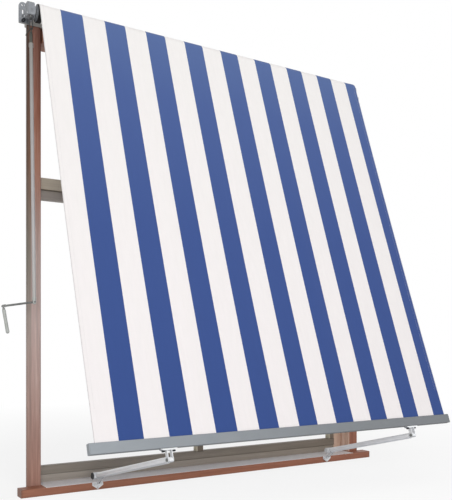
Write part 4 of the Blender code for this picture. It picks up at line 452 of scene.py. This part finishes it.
def makeCanvas(name, look, soiledEnd=0.0):
    material, tree = newMaterial(name)
    flat = addNode(tree, "UVMap", uv_map="flat").outputs[0]   # metres on the cut cloth: across, up from the bar
    cut = addNode(tree, "SeparateXYZ", {0: flat})
    across, up = cut.outputs[0], cut.outputs[1]

    # Threads: two sine waves, one along the warp and one along the weft, multiplied as over and under
    pitch = math.tau * 1000.0 / look["threadMm"]
    warp = addNode(tree, "Math", {0: across, 1: pitch}, operation="MULTIPLY").outputs[0]
    weft = addNode(tree, "Math", {0: up, 1: pitch}, operation="MULTIPLY").outputs[0]
    warp = addNode(tree, "Math", {0: warp}, operation="SINE").outputs[0]
    weft = addNode(tree, "Math", {0: weft}, operation="SINE").outputs[0]
    weave = addNode(tree, "Math", {0: warp, 1: weft}, operation="MULTIPLY").outputs[0]

    # Stripes: how far a thread lies past the last white-to-blue edge
    past = addNode(tree, "Math", {0: across, 1: look["firstStripe"]}, operation="SUBTRACT").outputs[0]
    past = addNode(tree, "Math", {0: past, 1: look["pair"]}, operation="FLOORED_MODULO").outputs[0]
    blue = addNode(tree, "Math", {0: past, 1: look["blueWidth"]}, operation="LESS_THAN").outputs[0]

    # Painted light: white and blue both grow paler up the cloth towards the roller
    height = addNode(tree, "MapRange", {0: up, 1: 0.0, 2: look["drop"]}).outputs[0]
    white = addNode(tree, "ValToRGB", {0: height}, look["whites"]).outputs[0]
    dyed = addNode(tree, "ValToRGB", {0: height}, look["blues"]).outputs[0]
    colour = addNode(tree, "Mix", {0: blue, 6: white, 7: dyed}, data_type="RGBA").outputs[2]

    # Slubs and a trace of rain marks: long soft streaks down the slope
    long = addNode(tree, "Mapping", {"Vector": flat, "Scale": (1.0, 0.12, 1.0)}).outputs[0]
    slub = addNode(tree, "TexNoise", {"Vector": long, "Scale": 1000.0 / look["slubMm"], "Detail": 5.0,
                                      "Roughness": 0.6}).outputs[0]
    for value, low, high, shades in ((slub, 0.25, 0.75, look["slubShade"]), (weave, -1.0, 1.0, look["weaveShade"])):
        shade = addNode(tree, "MapRange", {0: value, 1: low, 2: high, 3: shades[0], 4: shades[1]}).outputs[0]
        colour = addNode(tree, "Mix", {0: 1.0, 6: colour, 7: shade}, data_type="RGBA",
                         blend_type="MULTIPLY").outputs[2]

    # Greyer fold along the side hems, on the face and not on the hem turned under
    half = look["width"] / 2
    middle = addNode(tree, "Math", {0: across, 1: half}, operation="SUBTRACT").outputs[0]
    middle = addNode(tree, "Math", {0: middle}, operation="ABSOLUTE").outputs[0]
    fold = addNode(tree, "MapRange", {0: middle, 1: half - look["edgeInset"][0], 2: half - look["edgeInset"][1],
                                      3: 0.0, 4: look["edgeShare"]}).outputs[0]
    back = addNode(tree, "Math", {0: middle, 1: half + 0.001}, operation="LESS_THAN").outputs[0]
    fold = addNode(tree, "Math", {0: fold, 1: back}, operation="MULTIPLY").outputs[0]
    colour = addNode(tree, "Mix", {0: fold, 6: colour, 7: linearColour(look["edgeGrey"])}, data_type="RGBA",
                     blend_type="MULTIPLY").outputs[2]

    (fine, fineDeep), (coarse, coarseDeep) = look["weaveBump"], look["slubBump"]
    bump = addNode(tree, "Bump", {"Height": weave, "Strength": fine, "Distance": fineDeep}).outputs[0]
    soft = addNode(tree, "Bump", {"Height": slub, "Strength": coarse, "Distance": coarseDeep,
                                  "Normal": bump}).outputs[0]
    if soiledEnd:         # the roll's left end painted near black: painted shade
        wander = addNode(tree, "MapRange", {0: slub, 1: noiseLow, 2: noiseHigh, 3: -look["soilWander"],
                                            4: look["soilWander"]}).outputs[0]
        inset = addNode(tree, "Math", {0: across, 1: wander}, operation="ADD").outputs[0]
        soil = addNode(tree, "MapRange", {0: inset, 1: soiledEnd, 2: soiledEnd + look["soilFade"], 3: 1.0,
                                          4: 0.0}).outputs[0]
        colour = addNode(tree, "Mix", {0: soil, 6: colour, 7: linearColour(look["soil"])},
                         data_type="RGBA").outputs[2]
    closeMaterial(tree, addNode(tree, "BsdfPrincipled", {
        "Base Color": colour, "Roughness": look["rough"], "Specular IOR Level": 0.25, "Normal": soft, "IOR": 1.46,
        "Sheen Weight": look["sheen"], "Sheen Roughness": 0.5}))
    return material


canvas = makeCanvas("wovenAcrylicCanvas", canvasLook)
rolledCanvas = makeCanvas("woundAcrylicCanvas", canvasLook, soiledEnd=0.014)
print("canvas woven")


# Surfaces worked out on a grid

def ramp(values, start, span):
    # 0 up to start, then straight up to 1 over span, and 1 past it
    return np.clip((values - start) / span, 0.0, 1.0)


def gridFaces(rows, columns, closedRows=False, closedColumns=False):
    # Point row * columns + column is joined with its three next neighbours; a closed side joins last to first
    r = np.arange(rows if closedRows else rows - 1)
    c = np.arange(columns if closedColumns else columns - 1)
    rr, cc = np.meshgrid(r, c, indexing="ij")
    nextR, nextC = (rr + 1) % rows, (cc + 1) % columns
    faces = np.stack([rr * columns + cc, rr * columns + nextC, nextR * columns + nextC, nextR * columns + cc], -1)
    return faces.reshape(-1, 4)


def gridMesh(name, points, flatUv=None, closedRows=False, closedColumns=False):
    # points is rows x columns x 3
    faces = gridFaces(*points.shape[:2], closedRows, closedColumns)
    return faceMesh(name, points.reshape(-1, 3), faces, None if flatUv is None else flatUv.reshape(-1, 2))


def faceMesh(name, vertices, faces, flatUv=None):
    # Four-cornered faces straight from arrays; flatUv gives each vertex its place on the cut cloth
    mesh = bpy.data.meshes.new(name)
    mesh.vertices.add(len(vertices))
    mesh.vertices.foreach_set("co", np.ascontiguousarray(vertices, np.float32).ravel())
    mesh.loops.add(faces.size)
    mesh.loops.foreach_set("vertex_index", np.ascontiguousarray(faces, np.int32).ravel())
    mesh.polygons.add(len(faces))
    mesh.polygons.foreach_set("loop_start", np.arange(len(faces), dtype=np.int32) * 4)
    mesh.polygons.foreach_set("loop_total", np.full(len(faces), 4, np.int32))
    mesh.update(calc_edges=True)
    if flatUv is not None:
        layer = mesh.uv_layers.new(name="flat")
        layer.data.foreach_set("uv", np.ascontiguousarray(flatUv[faces.ravel()], np.float32).ravel())
    mesh.validate()
    return mesh


def addPiece(name, mesh, body, material):
    piece = bpy.data.objects.new(name, mesh)
    bpy.context.scene.collection.objects.link(piece)
    mesh.materials.append(material)
    mesh.polygons.foreach_set("use_smooth", np.full(len(mesh.polygons), True))
    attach(piece, body)
    return piece


def thicken(piece, thickness):
    # Half the thickness on each side of the sheet
    wall = piece.modifiers.new("cloth wall", "SOLIDIFY")
    wall.thickness = thickness
    wall.offset = 0.0


# The let-out cloth: hemmed down both sides, its foot looped round the welt inside the bar, its head
# laid over the roll. Across the cloth u, up the cloth v.

cloth = {
    "halfWidth": 0.900, "hem": 0.020, "thickness": 0.0005, "hemGap": 0.0010,
    "weltCentre": (-0.74745, 0.3151), "weltLoop": 0.00283, "pocket": 0.030, "layer": 0.0006,
    "rollCentre": (-0.078, 2.095), "rollRadius": 0.0388, "wrapAngle": 2.2, "lean": 0.339348,
    "sag": 0.006, "ripple": 0.0014, "hemRise": 0.0009, "columns": 96, "rows": 120,
    "tailRows": 9, "loopRows": 15, "wrapRows": 26,
    "hemSpots": (0.013, 0.006, 0.0012), "foldRound": 0.0003, "foldDepths": (0.86, 0.5, 0.14), "foldFlat": 0.0006,
    "folds": ((1.0, 23.0, 1.1), (0.6, 41.0, 2.3), (0.5, 9.0, 0.4)),      # size, waves across, shift
    "foldPeak": 0.3, "foldTaper": 0.7, "rideFrom": 0.86, "rideSpan": 0.14, "hemInner": 0.868, "hemRamp": 0.012,
    "grooveEnd": 0.075, "grooveSpan": 0.03, "grooveThin": 0.3,
}
slopeUp = np.array([math.sin(cloth["lean"]), math.cos(cloth["lean"])])       # (y, z) up the slope
slopeOut = np.array([-slopeUp[1], slopeUp[0]])                               # square to it, out of the window


def clothPath(s):
    # The cloth's middle line seen from the side, as rows of (y, z), the length of cloth below each, its outward
    # side and its share of the way up: pocket tail down to the welt, once round it, straight up the slope with
    # a sag of 4 t (1 - t) times its depth, then round the roll.
    welt, roll = np.array(s["weltCentre"]), np.array(s["rollCentre"])
    neck = math.sqrt(s["weltLoop"] ** 2 - s["layer"] ** 2)
    tailUp = np.linspace(s["pocket"], neck, s["tailRows"])
    tail = welt + tailUp[:, None] * slopeUp - s["layer"] * slopeOut
    start = math.atan2(neck, -s["layer"])
    turn = np.linspace(start, start + 2 * (math.pi - start) + 2 * (start - math.pi / 2), s["loopRows"])[1:-1]
    loop = welt + s["weltLoop"] * (np.cos(turn)[:, None] * slopeOut + np.sin(turn)[:, None] * slopeUp)
    foot = welt + neck * slopeUp + s["layer"] * slopeOut
    top = roll + s["rollRadius"] * slopeOut
    t = np.linspace(0.0, 1.0, s["rows"])
    slope = foot + t[:, None] * (top - foot) - (s["sag"] * 4 * t * (1 - t))[:, None] * slopeOut
    a = np.linspace(0.0, s["wrapAngle"], s["wrapRows"])[1:]
    wrap = roll + s["rollRadius"] * (np.cos(a)[:, None] * slopeOut + np.sin(a)[:, None] * slopeUp)
    line = np.concatenate([tail, loop, slope, wrap])
    length = np.concatenate([[0.0], np.cumsum(np.linalg.norm(np.diff(line, axis=0), axis=1))])
    along = np.gradient(line, axis=0)
    along /= np.linalg.norm(along, axis=1)[:, None]
    outward = np.stack([-along[:, 1], along[:, 0]], -1)          # the tangent turned a quarter
    rise = np.concatenate([np.zeros(len(tail) + len(loop)), t, np.ones(len(a))])
    return line, length, outward, rise


def clothAcross(s):
    # Across the cloth: the folded hem under each edge, a small round fold, and the face between.
    # Gives x, the depth under the face, and the place on the cut cloth.
    w, g = s["halfWidth"], s["hemGap"]
    underX = w - np.array((s["hem"],) + s["hemSpots"])
    foldX = np.array([w - s["foldRound"], w, w - s["foldRound"]])
    underDepth, foldDepth = np.full(len(underX), -g), -g * np.array(s["foldDepths"])
    face = np.linspace(-underX[-1], underX[-1], s["columns"])
    x = np.concatenate([-underX, -foldX, face, foldX, underX[::-1]])
    depth = np.concatenate([underDepth, foldDepth, np.zeros(len(face)), foldDepth[::-1], underDepth[::-1]])
    foldFlat = s["foldFlat"] * np.array([-1.0, 0.0, 1.0])
    flat = np.concatenate([underX - w, foldFlat, face + w, 2 * w + foldFlat, 3 * w - underX[::-1]])
    return x, depth, flat, len(underX) + len(foldX)


line, length, outward, rise = clothPath(cloth)
acrossX, depth, flatX, hemColumns = clothAcross(cloth)
u = acrossX[None, :] / cloth["halfWidth"]
v = rise[:, None]

# Tension folds run up the slope: three sine waves of uneven width, strongest a third of the way up and
# nothing at the ends
waves = sum(size * np.sin(count * u + shift) for size, count, shift in cloth["folds"])
taper = (v * (1 - v) * 4) ** cloth["foldTaper"] * (0.55 + 0.45 * np.cos(math.pi * (v - cloth["foldPeak"])))
lift = cloth["ripple"] * waves * taper
nearRoll = ramp(v, cloth["rideFrom"], cloth["rideSpan"])
nearRoll = nearRoll ** 2 * (3 - 2 * nearRoll)                 # eased at both ends
edge = ramp(np.abs(u) * cloth["halfWidth"], cloth["hemInner"], cloth["hemRamp"])
lift = lift + cloth["hemRise"] * edge * nearRoll              # hems lie double on the roll, so the edges ride up
pastGroove = ramp(length[:, None], cloth["grooveEnd"], cloth["grooveSpan"])
thin = cloth["grooveThin"]
under = depth[None, :] * (thin + (1 - thin) * pastGroove)     # hems are thinned to pass into the groove
offset = lift + under
points = np.empty((len(line), len(acrossX), 3))
points[..., 0] = acrossX[None, :]
points[..., 1] = line[:, None, 0] + offset * outward[:, None, 0]
points[..., 2] = line[:, None, 1] + offset * outward[:, None, 1]
footOfFace = cloth["pocket"] + math.pi * cloth["weltLoop"]
flat = np.empty((len(line), len(acrossX), 2))
flat[..., 0] = flatX[None, :]
flat[..., 1] = length[:, None] - footOfFace

sheetMesh = gridMesh("canvasSheet", points[:, ::-1], flat[:, ::-1])
canvasSheet = addPiece("canvasSheet", sheetMesh, "window_frame", canvas)
thicken(canvasSheet, cloth["thickness"])
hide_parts("fabric")


# Lockstitch along both hems: slim thread loops that dip into the cloth at each end

stitch = {"pitch": 0.005, "long": 0.0041, "radius": 0.00028, "rows": (0.0045, 0.0160), "start": 0.16,
          "stop": 0.05, "bow": 1.6, "dip": 0.9}


def threadRow(s, x, faceSign, hemDepth):
    # Centres every pitch along the slope; each stitch is a thread bowed by a half sine, four-sided in section
    first, last = np.searchsorted(length, [s["start"], length[-1] - s["stop"]])
    spots = np.arange(length[first], length[last], s["pitch"])
    t = np.linspace(-0.5, 0.5, 4)
    at = spots[:, None] + t[None, :] * s["long"]
    face = slice(hemColumns, -hemColumns)
    lifts = np.array([np.interp(x, acrossX[face], row[face]) for row in lift])
    base = hemDepth if faceSign < 0 else 0.0
    y = np.interp(at, length, line[:, 0] + (lifts + base) * outward[:, 0])
    z = np.interp(at, length, line[:, 1] + (lifts + base) * outward[:, 1])
    outY, outZ = np.interp(at, length, outward[:, 0]), np.interp(at, length, outward[:, 1])
    bow = faceSign * (cloth["thickness"] / 2 + s["radius"] * (s["bow"] * np.cos(math.pi * t) - s["dip"]))[None, :]
    a = np.arange(4) * math.tau / 4 + math.pi / 4
    ringX = x + s["radius"] * np.cos(a)[None, None, :] + 0 * at[..., None]
    proud = s["radius"] * np.sin(a)[None, None, :] + bow[..., None]
    return np.stack([ringX, y[..., None] + proud * outY[..., None], z[..., None] + proud * outZ[..., None]], -1)


def stitchMesh(name, rows):
    # Every stitch is four rings of four corners, joined ring to ring and closed at both ends
    rings = np.concatenate(rows)
    count = len(rings)
    k = np.arange(4)
    ring = np.arange(3)[:, None] * 4
    walls = np.stack([ring + k, ring + (k + 1) % 4, ring + 4 + (k + 1) % 4, ring + 4 + k], -1).reshape(-1, 4)
    ends = np.array([[3, 2, 1, 0], [12, 13, 14, 15]])
    one = np.concatenate([walls, ends])
    faces = (one[None] + 16 * np.arange(count)[:, None, None]).reshape(-1, 4)
    return faceMesh(name, rings.reshape(-1, 3), faces)


threadRows = []
for inset in stitch["rows"]:
    for edgeSide in (-1, 1):
        for faceSign in (1, -1):
            threadRows.append(threadRow(stitch, edgeSide * (cloth["halfWidth"] - inset), faceSign, -cloth["hemGap"]))

threadLook = {   # Bonded polyester thread, twisted: light grey with a soft lustre
    "rough": 0.6, "roughSpan": 0.05, "skinMm": 0.8, "cloudMm": 30.0, "dirt": 1.0, "bumpMm": 0.05,
    "colours": ("#C4C4C2", "#D2D2D0", "#DEDEDC")}
threadMesh = stitchMesh("hemThread", threadRows)
hemThread = addPiece("hemThread", threadMesh, "window_frame", makeMetal("bondedThread", threadLook))
print("hems stitched:", sum(len(r) for r in threadRows), "stitches")

# Each cloth piece gets a mesh of its own
for piece in (canvasSheet, hemThread):
    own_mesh(piece)


# The turns left on the tube, one strip wound in a spiral

roll = {"inner": 0.03562, "outer": 0.03768, "turns": 5, "steps": 60, "wall": 0.00034, "columns": 40,
        "faceHalf": 0.86, "hemSpots": (0.878, 0.881, 0.8965, 0.9), "hem": 0.0004, "lastAngle": 2.0}


def rolledCloth(s):
    # A spiral whose radius grows evenly with the angle; the hems lie double, so the last 20 mm stand a little higher
    wound = s["turns"] * math.tau
    a = np.linspace(-wound, 0.0, s["turns"] * s["steps"] + 1)
    radius = s["outer"] + (s["outer"] - s["inner"]) * a / wound
    spots = np.array(s["hemSpots"])
    x = np.concatenate([-spots[::-1], np.linspace(-s["faceHalf"], s["faceHalf"], s["columns"]), spots])
    raised = ramp(np.abs(x), spots[0], spots[1] - spots[0]) * s["hem"]
    r = radius[:, None] + raised[None, :] * (a / wound + 1.0)[:, None]
    angle = (a + s["lastAngle"])[:, None]
    uv, p = np.empty(r.shape + (2,)), np.empty(r.shape + (3,))
    p[..., 0] = x[None, :]
    for axis, middle in enumerate(cloth["rollCentre"]):
        p[..., axis + 1] = middle + r * (np.cos(angle) * slopeOut[axis] + np.sin(angle) * slopeUp[axis])
    spiral = np.concatenate([[0.0], np.cumsum(radius[1:] * np.diff(a))])
    uv[..., 0] = x[None, :] + cloth["halfWidth"]
    uv[..., 1] = (length[-1] + spiral[-1] - spiral - footOfFace)[:, None]
    return p, uv, float(spiral[-1])


rollPoints, rollUv, rollLength = rolledCloth(roll)
rollMesh = gridMesh("canvasRoll", rollPoints[:, ::-1], rollUv[:, ::-1])
canvasRoll = addPiece("canvasRoll", rollMesh, "roller", rolledCanvas)
thicken(canvasRoll, roll["wall"])
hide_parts("fabric_roll")

weltLook = {   # Welt cord in the bar's groove: extruded white plastic, slightly waxy
    "rough": 0.45, "roughSpan": 0.05, "skinMm": 1.5, "cloudMm": 20.0, "dirt": 0.7, "bump": 0.1, "bumpMm": 0.05,
    "stretch": (0.05, 1.0, 1.0), "dirtReach": 0.006,
    "colours": ("#DAD9D5", "#E4E3DF", "#ECEBE8")}
wear("welt_rod", makeMetal("extrudedWelt", weltLook))
print("roll wound,", round(rollLength, 3), "m on the tube")


# Screws and bolts

# Shares of a head's radius and height
crossHead = {"shoulder": 0.55, "rim": 0.35, "crossHalf": 0.13, "crossReach": 0.62, "crossDeep": 0.55,
             "sideFade": 0.05, "endFade": 0.08, "rings": 14, "spokes": 48}
hexHead = {"shoulder": 0.16, "rim": 0.72, "corners": 6, "rings": 14, "spokes": 48}


def dome(centre, normal, upward, s):
    # A head as height over a disc: r from the rim in, z = a flat pan with a rounded shoulder, less a cross recess.
    # A hexagon's rim radius is the hexagon's own, cos(30 deg) over the cosine of the angle to the nearest flat.
    n, w = np.array(normal, float), np.array(upward, float)
    n /= np.linalg.norm(n)
    w -= n * (w @ n)
    w /= np.linalg.norm(w)
    e = np.cross(w, n)
    q = np.arange(s["spokes"]) * math.tau / s["spokes"]
    r = np.concatenate([[1.0, 1.0], np.linspace(1.0, 0.0, s["rings"])])
    rim = np.ones(s["spokes"])
    if "corners" in s:
        half = math.pi / s["corners"]
        rim = math.cos(half) / np.cos((q + half) % (2 * half) - half)
    inner = 1 - s["shoulder"]
    z = np.where(r > inner, np.sqrt(np.clip(1 - ((r - inner) / s["shoulder"]) ** 2, 0.0, 1.0)), 1.0)
    z = s["rim"] + (1 - s["rim"]) * z
    z[0] = 0.0
    rr = r[:, None] * rim[None, :] * s["radius"]
    cx, cy = rr * np.cos(q)[None, :], rr * np.sin(q)[None, :]
    zz = (s["height"] * z)[:, None] + 0.0 * rr
    if "crossHalf" in s:      # two slots at 45 degrees, steep at their sides and at their ends
        diagonals = np.abs([cx + cy, cx - cy]) / (math.sqrt(2) * s["radius"])
        cutIn = ramp(-diagonals.min(0), -s["crossHalf"], s["sideFade"])
        cutIn = cutIn * ramp(-diagonals.max(0), -s["crossReach"], s["endFade"])
        zz = zz - cutIn * s["crossDeep"] * s["height"] * (np.arange(len(r)) > 1)[:, None]
    c = np.array(centre, float)
    return c + cx[..., None] * e + cy[..., None] * w + zz[..., None] * n


def headMesh(name, heads):
    # Each head's rings are joined row to row; the last ring has shrunk to a point
    vertices = [p.reshape(-1, 3) for p in heads]
    one = gridFaces(*heads[0].shape[:2], closedColumns=True)
    faces = [one + i * len(vertices[0]) for i in range(len(heads))]
    return faceMesh(name, np.concatenate(vertices), np.concatenate(faces))


# Hex bolts that hold each bar bracket up against the underside of the bar
barBolt = {**hexHead, "radius": 0.0066, "height": 0.0054, "spread": 0.0225, "brackets": (-0.611, 0.665),
           "seat": (-0.75335, 0.27138)}
heads = [dome((x + hand * barBolt["spread"],) + barBolt["seat"], (0.0, *-slopeUp), (0.0, -1.0, 0.0), barBolt)
         for x in barBolt["brackets"] for hand in (-1, 1)]
barBolts = addPiece("barBolts", headMesh("barBolts", heads), "front_bar", metal["blackSteel"])

# Cross-recess screws: two on each arm's wall shield, four on the gear's cover
shieldScrew = {**crossHead, "radius": 0.0048, "height": 0.0027, "spread": 0.0185, "shields": (-0.618, 0.734),
               "face": (-0.0673, 0.0273)}
coverScrew = {**crossHead, "radius": 0.0034, "height": 0.0018, "x": -0.951,
              "spots": ((-0.1050, 2.0775), (-0.0655, 2.0775), (-0.1035, 2.1215), (-0.0670, 2.1215))}
heads = [dome((x + hand * shieldScrew["spread"],) + shieldScrew["face"], (0.0, -1.0, 0.0), (0.3 * hand, 0.0, 1.0),
              shieldScrew) for x in shieldScrew["shields"] for hand in (-1, 1)]
heads += [dome((coverScrew["x"],) + spot, (-1.0, 0.0, 0.0), (0.0, 0.4, 1.0), coverScrew)
          for spot in coverScrew["spots"]]
crossScrews = addPiece("crossScrews", headMesh("crossScrews", heads), "window_frame", metal["brightCasting"])

# Near-black ring on the tube's left end, against the cloth: painted shade as a dark piece
shadeRing = {"inner": 0.03525, "outer": 0.0381, "from": -0.9036, "to": -0.9004, "round": 0.0007, "spokes": 96}


def ringMesh(name, s):
    # A rectangle (x, radius), its corners quarter circles of the given radius, carried once round the roller's axis
    q = np.linspace(0.0, math.tau, 17)[:-1]
    halfX, halfR = (s["to"] - s["from"]) / 2 - s["round"], (s["outer"] - s["inner"]) / 2 - s["round"]
    x = (s["from"] + s["to"]) / 2 + halfX * np.sign(np.cos(q + 0.01)) + s["round"] * np.cos(q)
    r = (s["inner"] + s["outer"]) / 2 + halfR * np.sign(np.sin(q + 0.01)) + s["round"] * np.sin(q)
    a = np.arange(s["spokes"]) * math.tau / s["spokes"]
    y, z = cloth["rollCentre"]
    p = np.empty((len(a), len(q), 3))
    p[..., 0] = x[None, :]
    p[..., 1] = y + r[None, :] * np.cos(a)[:, None]
    p[..., 2] = z + r[None, :] * np.sin(a)[:, None]
    return gridMesh(name, p[:, ::-1], closedRows=True, closedColumns=True)


rollEndRing = addPiece("rollEndRing", ringMesh("rollEndRing", shadeRing), "roller", metal["darkPlug"])
print("fixings made")


# Floor and lights

studio = {
    "floorHalf": 14.0, "floorColour": "#F2F2F2", "fadeFrom": 1.4, "fadeTo": 4.2, "fadeLeast": 0.80, "ambient": 0.46,
    "lamps": [  # name, place, aim, size, watts
        ("keyWindow", (-2.0, -5.6, 1.7), (0.0, -0.2, 0.8), 3.0, 144.0),
        ("skyPanel", (0.4, -1.6, 5.6), (0.0, -0.3, 1.0), 4.2, 30.0),
        ("rightFill", (4.2, -3.4, 1.8), (0.3, -0.2, 0.8), 3.0, 34.0),
    ],
}


def seenByCamera(tree):
    # 1 for what the camera sees, straight or in metal and glass, and 0 for what only lights the object
    rays = addNode(tree, "LightPath").outputs
    seen = rays["Is Camera Ray"]
    for ray in ("Is Glossy Ray", "Is Transmission Ray"):
        seen = addNode(tree, "Math", {0: seen, 1: rays[ray]}, operation="MAXIMUM").outputs[0]
    return seen


def makeFloor(s):
    # Plain pale floor: matt white that shows the object's soft shadow, lit up to the background's white for
    # the camera, fully from fadeTo metres away and by the share fadeLeast under the object
    material, tree = newMaterial("paleFloor")
    reach = addNode(tree, "VectorMath", {0: addNode(tree, "TexCoord").outputs["Object"]}, operation="LENGTH")
    fade = addNode(tree, "MapRange", {0: reach.outputs["Value"], 1: s["fadeFrom"], 2: s["fadeTo"],
                                      3: s["fadeLeast"], 4: 1.0}).outputs[0]
    share = addNode(tree, "Math", {0: seenByCamera(tree), 1: fade}, operation="MULTIPLY").outputs[0]
    matt = addNode(tree, "BsdfDiffuse", {"Color": linearColour(s["floorColour"]), "Roughness": 0.6})
    white = addNode(tree, "Emission", {"Color": (1.0, 1.0, 1.0, 1.0), "Strength": 1.0})
    closeMaterial(tree, addNode(tree, "MixShader", {0: share, 1: matt.outputs[0], 2: white.outputs[0]}))
    return material


half = studio["floorHalf"]
floorMesh = bpy.data.meshes.new("floor")
floorMesh.from_pydata([(-half, -half, 0), (half, -half, 0), (half, half, 0), (-half, half, 0)], [], [(0, 1, 2, 3)])
floor = bpy.data.objects.new("floor", floorMesh)
floorMesh.materials.append(makeFloor(studio))
bpy.context.scene.collection.objects.link(floor)

world = bpy.data.worlds.new("paleStudio")
world.use_nodes = True
sky = world.node_tree
sky.nodes.clear()
strength = addNode(sky, "MapRange", {0: seenByCamera(sky), 3: studio["ambient"], 4: 1.0}).outputs[0]
glow = addNode(sky, "Background", {"Color": (1.0, 1.0, 1.0, 1.0), "Strength": strength})
addNode(sky, "OutputWorld", {"Surface": glow.outputs[0]})
bpy.context.scene.world = world

for name, place, aim, size, watts in studio["lamps"]:
    lamp = bpy.data.objects.new(name, bpy.data.lights.new(name, "AREA"))
    lamp.data.shape = "DISK"
    lamp.data.size = size
    lamp.data.energy = watts
    lamp.location = place
    away = np.array(place) - np.array(aim)
    lamp.rotation_euler = (math.acos(away[2] / np.linalg.norm(away)), 0.0, math.atan2(away[1], away[0]) + math.pi / 2)
    bpy.context.scene.collection.objects.link(lamp)
print("studio lit")
